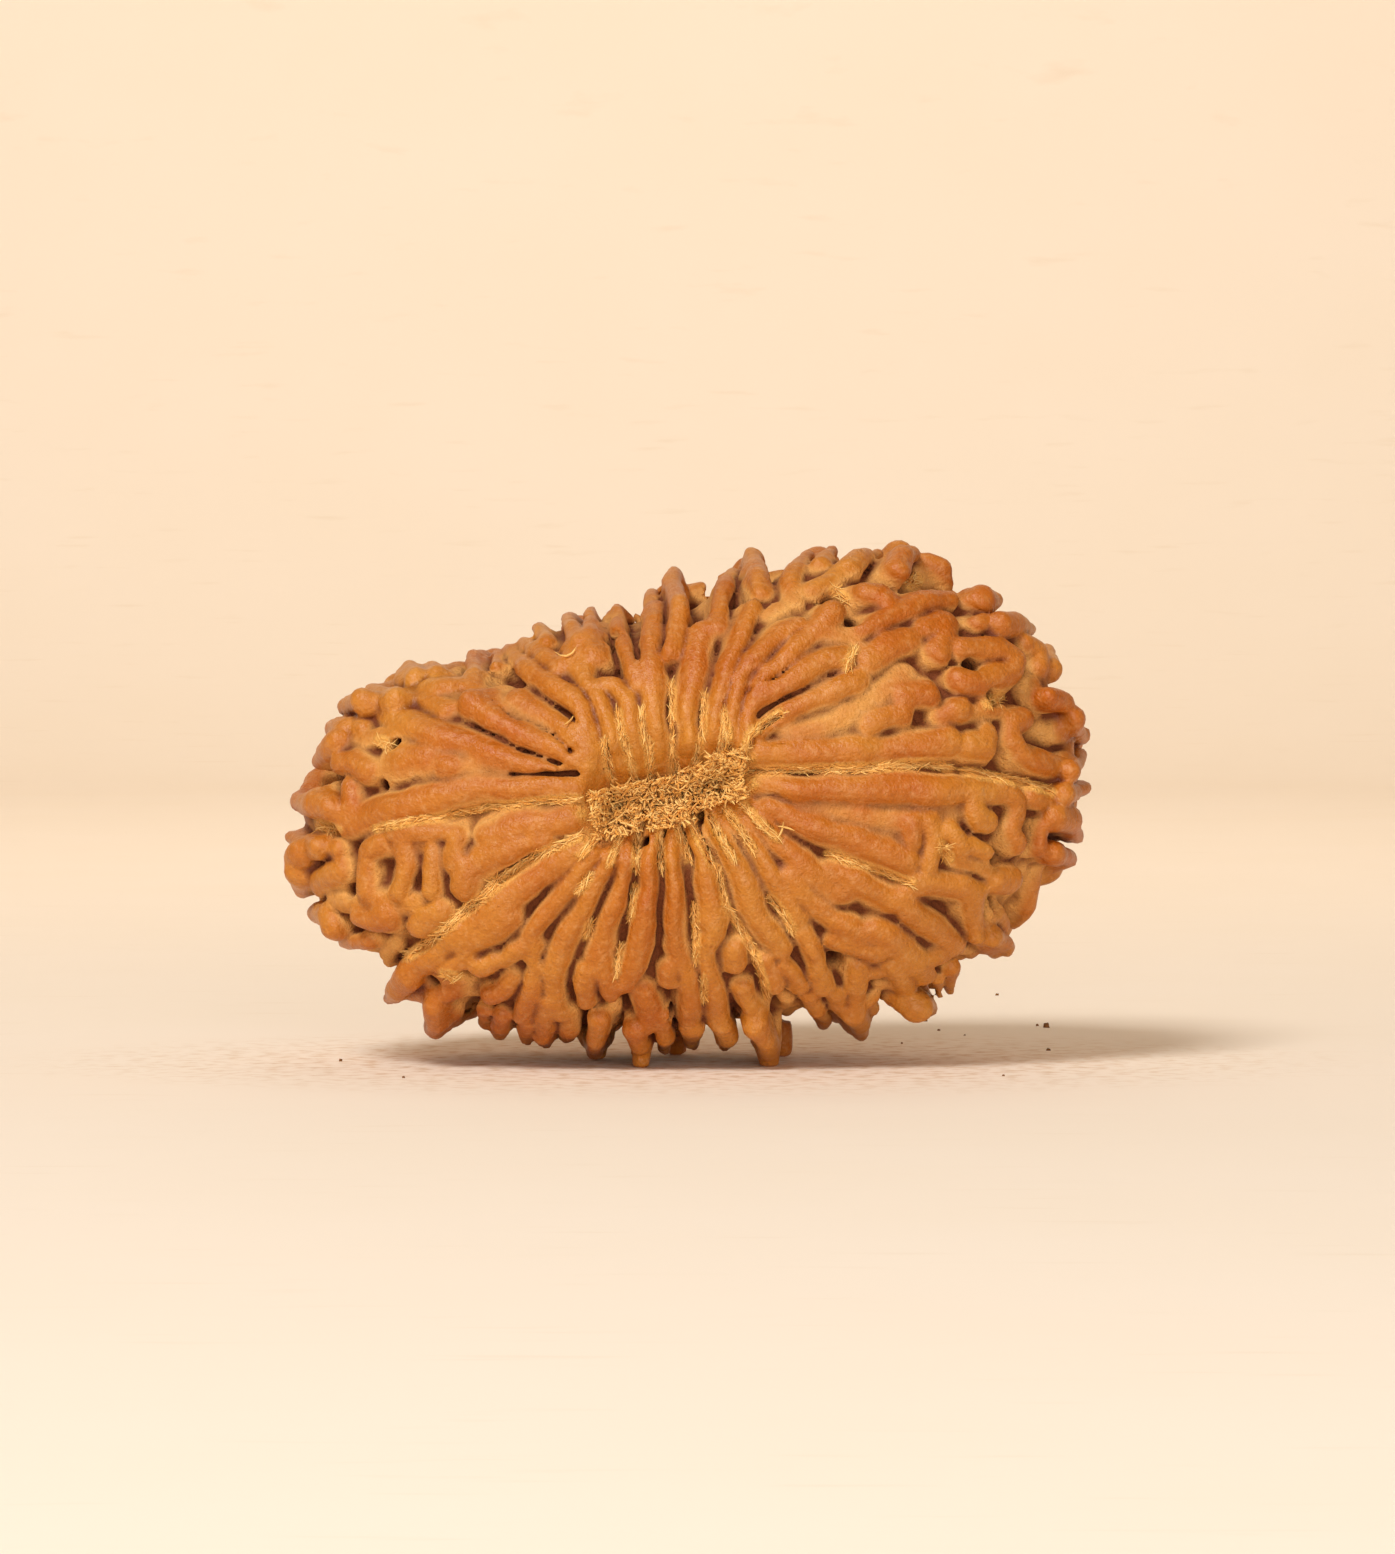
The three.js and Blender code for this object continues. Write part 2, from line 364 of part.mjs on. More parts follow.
function ease(share) {
  const t = Math.min(1, Math.max(0, share));
  return t * t * (3 - 2 * t);
}

function turnedPast(angle, first) {
  return first + ((((angle - first) % 360) + 360) % 360);
}

// The angle of groove number i at way, which runs from 0 at the front mouth over 1 at the rim to 2.
function grooveAngle(i, way) {
  const lobe = lobes[i % lobes.length];
  const turns = 360 * Math.floor(i / lobes.length);
  return mix(lobe.line, lobe.rim, ease(1 - Math.abs(way - 1))) + turns;
}

function angleIn(i, share, way) {
  return mix(grooveAngle(i, way), grooveAngle(i + 1, way), share);
}

// How far the crests at the rim lie from the mouth in a direction, eased from lobe to lobe.
const lobeMiddles = lobes.map((lobe, i) => angleIn(i, 0.5, 1));
function reachAt(angle) {
  const first = lobeMiddles[0];
  const turned = turnedPast(angle, first);
  let i = lobes.length - 1;
  while (lobeMiddles[i] > turned) i -= 1;
  const next = (i + 1) % lobes.length;
  const nextMiddle = next ? lobeMiddles[next] : first + 360;
  const share = ease((turned - lobeMiddles[i]) / (nextMiddle - lobeMiddles[i]));
  return mix(lobes[i].reach, lobes[next].reach, share);
}

// A point by its angle, its distance out from the slit and its height above the rim's plane.
const tilt = THREE.MathUtils.degToRad(mouth.tilt);
function place(angle, out, up) {
  const turn = THREE.MathUtils.degToRad(angle);
  const along = Math.hypot(out, mouth.halfLength) * Math.cos(turn);
  const across = out * Math.sin(turn);
  return new THREE.Vector3(
    mouth.x + along * Math.cos(tilt) - across * Math.sin(tilt),
    -up,
    mouth.z + along * Math.sin(tilt) + across * Math.cos(tilt),
  );
}

// The angle and the distance out of a point at x, z.
function seenAt(x, z) {
  const along = (x - mouth.x) * Math.cos(tilt) + (z - mouth.z) * Math.sin(tilt);
  const across = (z - mouth.z) * Math.cos(tilt) - (x - mouth.x) * Math.sin(tilt);
  const slit = mouth.halfLength ** 2;
  const half = (along ** 2 + across ** 2 - slit) / 2;
  const out = Math.sqrt(half + Math.hypot(half, across * mouth.halfLength));
  const turn = Math.atan2(across / Math.max(out, tiny), along / Math.hypot(out, mouth.halfLength));
  return { angle: THREE.MathUtils.radToDeg(turn), out };
}

function dimpleAt(out) {
  return dimple.depth * (1 - ease((out - dimple.from) / (dimple.to - dimple.from)));
}

// A point of the crests' shell, sunk into the stone by depth along the shell's normal.
function sunk(angle, out, up, reach, depth) {
  const normal = new THREE.Vector2(
    Math.min(1, out / reach) ** (squareness - 1) / reach,
    (Math.abs(up) / halfThickness) ** (squareness - 1) / halfThickness,
  ).normalize();
  return place(angle, Math.max(0, out - depth * normal.x), up - Math.sign(up) * depth * normal.y);
}

// The point of the front seen at x, z with the crests depth above it, then sunk further by more.
// The shell ends at tipOut, if that is given.
function onFront(x, z, depth, more, tipOut) {
  const { angle, out } = seenAt(x, z);
  const reach = tipOut ?? reachAt(angle) - depth;
  const flatness = (1 - Math.min(1, out / reach) ** squareness) ** (1 / squareness);
  const up = Math.max(leastRise, (halfThickness - depth - dimpleAt(out)) * flatness);
  return sunk(angle, out, up, reach, more);
}

// The point of the shell at an angle and a way, sunk by depth.
function onShell(angle, way, depth, reach = reachAt(angle)) {
  const quarter = (way * Math.PI) / 2;
  const out = reach * Math.sin(quarter) ** (2 / squareness);
  const rise = halfThickness * Math.abs(Math.cos(quarter)) ** (2 / squareness) - dimpleAt(out);
  return sunk(angle, out, way < 1 ? rise : -rise, reach, depth);
}

// Width of one of several equal rows in lobe i
function rowWidth(i, rows, way) {
  const reach = reachAt(angleIn(i, 0.5, way));
  const out = reach * Math.sin((way * Math.PI) / 2) ** (2 / squareness);
  const spread = grooveAngle(i + 1, way) - grooveAngle(i, way);
  return (THREE.MathUtils.degToRad(spread) * Math.hypot(out, mouth.halfLength)) / rows;
}

// A swelling is a list of rounded cones.
const swellings = [];
const cuts = [];
function cone(from, to, fromRadius, toRadius) {
  return { from, to, fromRadius, toRadius };
}

// A ridge of the front, which lies lower than the crests by drop.
function addFrontRidge([startRadius, endRadius, ...points], drop, wall, fullness, tipOut) {
  const cones = [];
  const steps = points.length / 2 - 1;
  wall.forEach(({ more, share }) => {
    let last = null;
    for (let s = 0; s <= steps; s += 1) {
      const radius = fullness * mix(startRadius, endRadius, s / steps);
      const at = onFront(points[2 * s], points[2 * s + 1], radius + drop, more, tipOut);
      if (last) cones.push(cone(last.at, at, last.radius * share, radius * share));
      last = { at, radius };
    }
  });
  swellings.push(cones);
}

function addLowWall(knobA, knobB) {
  const [radiusA, radiusB] = [knobA.radius * lowWall.radius, knobB.radius * lowWall.radius];
  swellings.push([cone(knobA.middle, knobB.middle, radiusA, radiusB)]);
}

// The row of knobs that runs from a finger's tip over the rim, with the low walls between them.
function addKnobRow([, tipRadius, ...points]) {
  const tip = seenAt(...points.slice(-2));
  const angle = turnedPast(tip.angle, lobes[0].rim);
  let i = lobes.length - 1;
  while (lobes[i].rim > angle) i -= 1;
  const share = (angle - lobes[i].rim) / (grooveAngle(i + 1, 1) - lobes[i].rim);
  const lengthPerWay = (tip.out + halfThickness) * roundness;
  const steps = Math.floor(((rowEnd - 1) * lengthPerWay) / knobPitch);
  const knobs = [{ radius: tipRadius, middle: place(tip.angle, tip.out, 0) }];
  for (let s = 1; s <= steps; s += 1) {
    const way = 1 + ((s + stray(knobStray.alongRow)) * knobPitch) / lengthPerWay;
    const reach = mix(tip.out + tipRadius, reachAt(angle), s / steps);
    const radius = draw(knobRadius.least, knobRadius.most);
    const sideways = share + stray(knobStray.sideways);
    const lean = sideways + stray(knobStray.lean);
    const foot = onShell(angleIn(i, sideways, way), way, depthAtRim, reach);
    const top = onShell(angleIn(i, lean, way), way, radius + draw(0, knobSag), reach);
    swellings.push([cone(foot, top, radius * knobFoot, radius)]);
    knobs.push({ radius, middle: foot.clone().lerp(top, lowWall.height) });
  }
  knobs.slice(1).forEach((knob, s) => {
    if (s === 0 || draw(0, 1) < wallChance.inRow) addLowWall(knobs[s], knob);
  });
  return knobs.slice(1);
}

// Walls from a knob to its neighbour in the next row make closed pits.
function linkRows(rowA, rowB) {
  rowA.forEach((knob) => {
    if (draw(0, 1) > wallChance.acrossRows) return;
    const near = rowB.reduce((best, other) =>
      other.middle.distanceTo(knob.middle) < best.middle.distanceTo(knob.middle) ? other : best,
    );
    addLowWall(knob, near);
  });
}

// One smooth ridge of the back, from beside the mouth to where it breaks up.
function addBackRidge(i, share, count) {
  const cones = [];
  steepWall.forEach(({ more, share: narrowing }) => {
    let last = null;
    for (let s = 0; s <= ridgeSteps; s += 1) {
      const way = mix(backRidge.from, backRidge.to, s / ridgeSteps);
      const radius = Math.min(backRidge.radius, backRidge.share * rowWidth(i, count, way));
      const at = onShell(angleIn(i, share, way), way, radius + more);
      if (last) cones.push(cone(last.at, at, last.radius * narrowing, radius * narrowing));
      last = { at, radius };
    }
  });
  swellings.push(cones);
}

function addGroove(i) {
  groove.depths.forEach((depth) => {
    let last = null;
    for (let s = 0; s <= grooveSteps; s += 1) {
      const way = mix(groove.from, groove.to, s / grooveSteps);
      const now = onShell(grooveAngle(i, way), way, depth);
      if (last) cuts.push([cone(last, now, groove.radius, groove.radius)]);
      last = now;
    }
  });
}

valleys.forEach((valley) => addFrontRidge(valley, valleyDepth, ridgeWall, 1));
ridges.forEach((ridge) => addFrontRidge(ridge, 0, ridgeWall, ridgeFullness));
fingers.forEach((finger) => {
  addFrontRidge(finger, 0, steepWall, 1, seenAt(...finger.slice(-2)).out);
});
const rows = [];
let rowTip = null;
fingers.forEach((finger) => {
  const tip = new THREE.Vector2(...finger.slice(-2));
  if (rowTip && tip.distanceTo(rowTip) < rowGap) return;
  rows.push(addKnobRow(finger));
  rowTip = tip;
});
rows.forEach((row, i) => {
  const next = rows[(i + 1) % rows.length];
  if (next.length > 0) linkRows(row, next);
});
lobes.forEach((lobe, i) => {
  for (let ridge = 0; ridge < lobe.ridges; ridge += 1) {
    addBackRidge(i, (ridge + 0.5) / lobe.ridges, lobe.ridges);
  }
  addGroove(i);
});
hollows.forEach(([radius, x, z]) => {
  const top = onFront(x, z, hollowTop, 0);
  cuts.push([cone(top, onFront(x, z, hollowTop, hollowDepth), radius, radius * hollowTaper)]);
});
feet.forEach(([x, y, radius]) => {
  const low = new THREE.Vector3(x, y, radius - footWear);
  const high = new THREE.Vector3(x * footTop.inward, y * footTop.inward, footTop.z);
  swellings.push([cone(high, low, radius * footTop.radius, radius)]);
});

// The field: depth inside the stone is below 0, on a grid of points.
const low = new THREE.Vector3(-19.2, -11, -1.2);
const high = new THREE.Vector3(19.2, 11, 24.2);
const size = high.clone().sub(low).divideScalar(cell).ceil();
const [nx, ny, nz] = [size.x + 1, size.y + 1, size.z + 1];
const field = new Float32Array(nx * ny * nz);
const indexOf = (i, j, k) => (k * ny + j) * nx + i;
const pointAt = (i, j, k) =>
  new THREE.Vector3(low.x + i * cell, low.y + j * cell, low.z + k * cell);

function smoothMin(a, b, radius) {
  const overlap = Math.max(0, radius - Math.abs(a - b)) / radius;
  return Math.min(a, b) - (overlap * overlap * radius) / 4;
}

const course = new THREE.Vector3();
const gap = new THREE.Vector3();
function coneDistance(p, { from, to, fromRadius, toRadius }) {
  course.subVectors(to, from);
  gap.subVectors(p, from);
  const share = Math.min(1, Math.max(0, gap.dot(course) / Math.max(tiny, course.lengthSq())));
  return gap.addScaledVector(course, -share).length() - mix(fromRadius, toRadius, share);
}

function bodyDistance(p) {
  const { angle, out } = seenAt(p.x, p.z);
  const reach = reachAt(angle) - depthAtRim;
  const thickness = halfThickness - depthOnFace - dimpleAt(out);
  const across = out / reach;
  const above = Math.abs(p.y) / thickness;
  const share = Math.max(coreShare, (across ** squareness + above ** squareness) ** (1 / squareness));
  return ((share - 1) * Math.hypot(out, p.y)) / share;
}

function fillBody() {
  for (let k = 0; k < nz; k += 1) {
    for (let j = 0; j < ny; j += 1) {
      for (let i = 0; i < nx; i += 1) {
        field[indexOf(i, j, k)] = bodyDistance(pointAt(i, j, k));
      }
    }
  }
}

// Joins a list of cones to the field, or cuts it out, within reach of the cones.
function work(cones, sign) {
  const widest = Math.max(...cones.map((one) => Math.max(one.fromRadius, one.toRadius)));
  const box = new THREE.Box3().setFromPoints(cones.flatMap((one) => [one.from, one.to]));
  box.expandByScalar(widest + blend + cell).translate(low.clone().negate());
  const from = box.min.divideScalar(cell).floor().max(new THREE.Vector3());
  const to = box.max.divideScalar(cell).ceil().min(new THREE.Vector3(nx - 1, ny - 1, nz - 1));
  for (let k = from.z; k <= to.z; k += 1) {
    for (let j = from.y; j <= to.y; j += 1) {
      for (let i = from.x; i <= to.x; i += 1) {
        const p = pointAt(i, j, k);
        let distance = Infinity;
        cones.forEach((one) => {
          distance = Math.min(distance, coneDistance(p, one));
        });
        const at = indexOf(i, j, k);
        field[at] = sign * smoothMin(sign * field[at], distance, blend);
      }
    }
  }
}

// Marching tetrahedra: each cube of the grid is six tetrahedra round its long diagonal.
const tetrahedra = [
  [0, 1, 3, 7],
  [0, 3, 2, 7],
  [0, 2, 6, 7],
  [0, 6, 4, 7],
  [0, 4, 5, 7],
  [0, 5, 1, 7],
];
function surfaceOf() {
  const points = [];
  const faces = [];
  const known = new Map();
  const corner = (i, j, k, bits) => [i + (bits & 1), j + ((bits >> 1) & 1), k + (bits >> 2)];

  // The point between corners a and b of a cube, shared by all the cubes that meet there
  function crossing(i, j, k, a, b) {
    const [first, second] = a < b ? [a, b] : [b, a];
    const start = corner(i, j, k, first);
    const end = corner(i, j, k, second);
    const key = indexOf(...start) * 8 + (first ^ second);
    if (!known.has(key)) {
      const from = field[indexOf(...start)];
      const to = field[indexOf(...end)];
      const share = Math.min(1 - nearEnd, Math.max(nearEnd, from / (from - to)));
      known.set(key, points.length);
      points.push(pointAt(...start).lerp(pointAt(...end), share));
    }
    return known.get(key);
  }

  const across = new THREE.Vector3();
  const edge = new THREE.Vector3();
  const outward = new THREE.Vector3();
  function addFace(a, b, c, inner) {
    across.subVectors(points[b], points[a]);
    edge.subVectors(points[c], points[a]);
    outward.subVectors(points[a], inner);
    const right = across.cross(edge).dot(outward) > 0;
    faces.push(right ? [a, b, c] : [a, c, b]);
  }

  for (let k = 0; k + 1 < nz; k += 1) {
    for (let j = 0; j + 1 < ny; j += 1) {
      for (let i = 0; i + 1 < nx; i += 1) {
        const inside = [0, 1, 2, 3, 4, 5, 6, 7].map(
          (bits) => field[indexOf(...corner(i, j, k, bits))] < 0,
        );
        if (inside.every(Boolean) || !inside.some(Boolean)) continue;
        tetrahedra.forEach((tetrahedron) => {
          const within = tetrahedron.filter((bits) => inside[bits]);
          const without = tetrahedron.filter((bits) => !inside[bits]);
          if (!within.length || !without.length) return;
          const inner = pointAt(...corner(i, j, k, within[0]));
          if (within.length === 2) {
            const ring = [
              crossing(i, j, k, within[0], without[0]),
              crossing(i, j, k, within[0], without[1]),
              crossing(i, j, k, within[1], without[1]),
              crossing(i, j, k, within[1], without[0]),
            ];
            addFace(ring[0], ring[1], ring[2], inner);
            addFace(ring[0], ring[2], ring[3], inner);
          } else {
            const [one, three] = within.length === 1 ? [within, without] : [without, within];
            const trio = three.map((bits) => crossing(i, j, k, one[0], bits));
            addFace(...trio, inner);
          }
        });
      }
    }
  }
  return { points, faces };
}

// Keeps the largest closed surface and drops any bubble.
function largestPiece({ points, faces }) {
  const parent = points.map((point, i) => i);
  const root = (i) => {
    let at = i;
    while (parent[at] !== at) {
      parent[at] = parent[parent[at]];
      at = parent[at];
    }
    return at;
  };
  faces.forEach(([a, b, c]) => {
    parent[root(a)] = root(b);
    parent[root(b)] = root(c);
  });
  const count = new Map();
  faces.forEach(([a]) => count.set(root(a), (count.get(root(a)) ?? 0) + 1));
  const most = Math.max(...count.values());
  return { points, faces: faces.filter(([a]) => count.get(root(a)) === most) };
}

// A heap that gives back the entry of least cost first
class Heap {
  constructor() {
    this.entries = [];
  }

  push(entry) {
    const list = this.entries;
    let at = list.length;
    list.push(entry);
    while (at > 0) {
      const above = (at - 1) >> 1;
      if (list[above].cost <= entry.cost) break;
      list[at] = list[above];
      at = above;
    }
    list[at] = entry;
  }

  pop() {
    const list = this.entries;
    const top = list[0];
    const last = list.pop();
    if (list.length === 0) return top;
    let at = 0;
    for (;;) {
      let below = 2 * at + 1;
      if (below >= list.length) break;
      if (below + 1 < list.length && list[below + 1].cost < list[below].cost) below += 1;
      if (list[below].cost >= last.cost) break;
      list[at] = list[below];
      at = below;
    }
    list[at] = last;
    return top;
  }
}

// Thins the mesh by closing the edges that shape it least, as measured by squared distances to
// the planes of the faces that met there.
class Thinner {
  constructor({ points, faces }) {
    this.points = points;
    this.faces = faces;
    this.facesAt = points.map(() => []);
    this.quadrics = points.map(() => new Float64Array(10));
    this.stamps = new Uint32Array(points.length);
    this.heap = new Heap();
    this.left = faces.length;
    faces.forEach((face, f) => {
      face.forEach((v) => this.facesAt[v].push(f));
      this.addPlane(face);
    });
    faces.forEach(([a, b, c]) => {
      if (a < b) this.offer(a, b);
      if (b < c) this.offer(b, c);
      if (c < a) this.offer(c, a);
    });
  }

  // Twice the area along the normal of a face, with vertex v moved to where
  normalOf(face, v, where) {
    const [a, b, c] = face.map((w) => (w === v ? where : this.points[w]));
    return b.clone().sub(a).cross(c.clone().sub(a));
  }

  addPlane(face) {
    const normal = this.normalOf(face, -1);
    const area = normal.length() / 2;
    if (area < tiny) return;
    normal.normalize();
    const p = this.points[face[0]];
    const offset = -normal.dot(p);
    const weight = area * (p.y > frontEnds ? backWeight : 1);
    const plane = [normal.x, normal.y, normal.z, offset];
    face.forEach((v) => {
      let n = 0;
      for (let i = 0; i < 4; i += 1) {
        for (let j = i; j < 4; j += 1) {
          this.quadrics[v][n] += weight * plane[i] * plane[j];
          n += 1;
        }
      }
    });
  }

  static error(q, p) {
    return (
      q[0] * p.x * p.x + 2 * q[1] * p.x * p.y + 2 * q[2] * p.x * p.z + 2 * q[3] * p.x +
      q[4] * p.y * p.y + 2 * q[5] * p.y * p.z + 2 * q[6] * p.y +
      q[7] * p.z * p.z + 2 * q[8] * p.z + q[9]
    );
  }

  // Offers the edge between a and b to the heap, with the place its ends would move to.
  offer(a, b) {
    const q = this.quadrics[a].map((value, i) => value + this.quadrics[b][i]);
    const from = this.points[a];
    const to = this.points[b];
    const middle = from.clone().add(to).multiplyScalar(0.5);
    const options = [from, to, middle];
    const matrix = new THREE.Matrix3().set(q[0], q[1], q[2], q[1], q[4], q[5], q[2], q[5], q[7]);
    if (Math.abs(matrix.determinant()) > leastDeterminant) {
      const best = new THREE.Vector3(-q[3], -q[6], -q[8]).applyMatrix3(matrix.invert());
      if (best.distanceTo(middle) < from.distanceTo(to)) options.push(best);
    }
    const costs = options.map((p) => Thinner.error(q, p));
    const cost = Math.min(...costs);
    this.heap.push({
      cost: cost + edgeCost * from.distanceToSquared(to),
      a,
      b,
      where: options[costs.indexOf(cost)],
      stamp: this.stamps[a] + this.stamps[b],
    });
  }

  neighbours(v) {
    return new Set(this.facesAt[v].flatMap((f) => this.faces[f].filter((w) => w !== v)));
  }

  // An edge may close if the surface stays closed and no face turns over or becomes a sliver.
  mayClose(a, b, where) {
    const near = this.neighbours(a);
    const shared = [...this.neighbours(b)].filter((v) => near.has(v));
    if (shared.length !== 2) return false;
    return [a, b].every((v) =>
      this.facesAt[v].every((f) => {
        const face = this.faces[f];
        if (face.includes(a) && face.includes(b)) return true;
        const before = this.normalOf(face, -1);
        const after = this.normalOf(face, v, where);
        const corners = face.map((w) => (w === v ? where : this.points[w]));
        const edges =
          corners[0].distanceToSquared(corners[1]) +
          corners[1].distanceToSquared(corners[2]) +
          corners[2].distanceToSquared(corners[0]);
        const round = (2 * Math.sqrt(3) * after.length()) / edges;
        const facing = after.dot(before) / (after.length() * before.length());
        return round > leastRoundness && facing > leastFacing;
      }),
    );
  }

  close(a, b, where) {
    this.points[a] = where.clone();
    const gone = this.facesAt[b].filter((f) => this.faces[f].includes(a));
    gone.forEach((f) => {
      this.faces[f].forEach((v) => {
        this.facesAt[v] = this.facesAt[v].filter((other) => other !== f);
      });
      this.faces[f] = null;
    });
    this.left -= gone.length;
    this.facesAt[b].forEach((f) => {
      this.faces[f] = this.faces[f].map((v) => (v === b ? a : v));
      this.facesAt[a].push(f);
    });
    this.facesAt[b] = [];
    this.quadrics[b].forEach((value, i) => {
      this.quadrics[a][i] += value;
    });
    this.stamps[a] += 1;
    this.stamps[b] += 1;
    this.neighbours(a).forEach((v) => this.offer(a, v));
  }

  thinTo(count) {
    while (this.left > count && this.heap.entries.length > 0) {
      const { a, b, where, stamp } = this.heap.pop();
      const fresh = stamp === this.stamps[a] + this.stamps[b];
      const standing = this.facesAt[a].length > 0 && this.facesAt[b].length > 0;
      if (fresh && standing && this.mayClose(a, b, where)) this.close(a, b, where);
    }
    return { points: this.points, faces: this.faces.filter(Boolean) };
  }
}

fillBody();
swellings.forEach((cones) => work(cones, 1));
cuts.forEach((cones) => work(cones, -1));
const thinned = new Thinner(largestPiece(surfaceOf())).thinTo(triangles);

// The lowest fingers are worn flat where the stone stands.
const wasm = await Module();
wasm.setup();
function solidOf(geometry) {
  const bare = geometry.clone();
  bare.deleteAttribute("normal");
  bare.deleteAttribute("uv");
  const merged = mergeVertices(bare, weld);
  return new wasm.Manifold(
    new wasm.Mesh({
      numProp: 3,
      vertProperties: merged.attributes.position.array,
      triVerts: new Uint32Array(merged.index.array),
    }),
  );
}

function geometryOf(solid) {
  const { vertProperties, triVerts } = solid.getMesh();
  const geometry = new THREE.BufferGeometry();
  geometry.setAttribute("position", new THREE.BufferAttribute(vertProperties, 3));
  geometry.setIndex(new THREE.BufferAttribute(triVerts, 1));
  geometry.computeVertexNormals();
  return geometry;
}

const surface = new THREE.BufferGeometry();
surface.setFromPoints(thinned.points);
surface.setIndex(thinned.faces.flat());
const floor = new THREE.BoxGeometry(ground.width, ground.width, ground.thickness);
floor.translate(0, 0, -ground.thickness / 2);
const wood = new THREE.MeshStandardMaterial({ color: 0xb8733a, roughness: 0.55, metalness: 0 });
const stone = new THREE.Mesh(geometryOf(solidOf(surface).subtract(solidOf(floor))), wood);
stone.name = "stone";

// The row's frame stands in the middle of the stone's length and depth.
const bounds = new THREE.Box3().setFromObject(stone);
const middle = bounds.getCenter(new THREE.Vector3());
stone.geometry.translate(-middle.x, -middle.y, 0);

const rudraksha = new THREE.Group();
rudraksha.add(stone);

export default rudraksha;
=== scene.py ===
import math

import bpy
import numpy as np
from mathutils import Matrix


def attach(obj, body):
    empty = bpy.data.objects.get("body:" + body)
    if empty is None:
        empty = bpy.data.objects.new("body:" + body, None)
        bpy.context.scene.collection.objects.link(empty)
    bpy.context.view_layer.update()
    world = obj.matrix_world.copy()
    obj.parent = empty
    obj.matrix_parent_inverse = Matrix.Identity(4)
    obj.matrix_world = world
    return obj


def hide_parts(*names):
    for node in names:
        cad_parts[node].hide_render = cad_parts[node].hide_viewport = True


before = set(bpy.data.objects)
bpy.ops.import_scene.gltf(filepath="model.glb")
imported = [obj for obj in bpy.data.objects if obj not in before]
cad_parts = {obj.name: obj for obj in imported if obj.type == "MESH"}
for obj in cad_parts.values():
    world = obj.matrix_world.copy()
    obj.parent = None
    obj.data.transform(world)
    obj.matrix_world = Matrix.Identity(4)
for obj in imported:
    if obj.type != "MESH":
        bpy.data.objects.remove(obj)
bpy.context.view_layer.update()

# The woody stone
# The real piece is the stone of one utrasum bead fruit, grown as one hard woody shell. Its form
# follows the CAD node: crests on one smooth shell, a body under them, knobs over the rim. Here
# it gets a finer mesh, with fine roughness in its low ground and the pits of the front mouth.
MM = 0.001
HALF_THICKNESS = 9.8
SQUARENESS = 2.35
MOUTH_X, MOUTH_Z, MOUTH_HALF_LENGTH = -0.9, 12.2, 3.1
MOUTH_TILT = math.radians(8)
DIMPLE_DEPTH, DIMPLE_FROM, DIMPLE_TO = 1.8, 0.4, 3.0
DEPTH_BY_MOUTH, DEPTH_ON_FACE, DEPTH_AT_RIM = 0.9, 1.0, 1.6

# Each lobe: angle of its first groove by the mouth and at the rim, reach, ridges on the back
LOBES = np.array([
    [4, -6, 17.8, 2],
    [36, 29, 15.2, 1],
    [47, 44, 13.0, 1],
    [56, 53, 11.4, 1],
    [62.5, 62, 10.4, 1],
    [70.5, 71, 9.3, 1],
    [81, 84.5, 9.0, 2],
    [98, 94, 8.6, 1],
    [110.5, 114, 9.0, 1],
    [121, 129, 9.6, 1],
    [131.5, 139, 11.0, 1],
    [141.5, 146, 12.6, 1],
    [151.5, 151, 15.6, 2],
    [174, 183, 16.8, 2],
    [200.5, 206, 15.0, 1],
    [217, 221, 13.6, 2],
    [237, 233, 12.7, 1],
    [247, 245, 12.2, 1],
    [261, 261, 11.8, 1],
    [271.5, 270, 12.2, 2],
    [288.5, 288, 13.0, 2],
    [303.5, 300, 14.0, 1],
    [314, 312, 15.6, 1],
    [331, 327, 17.9, 2],
])

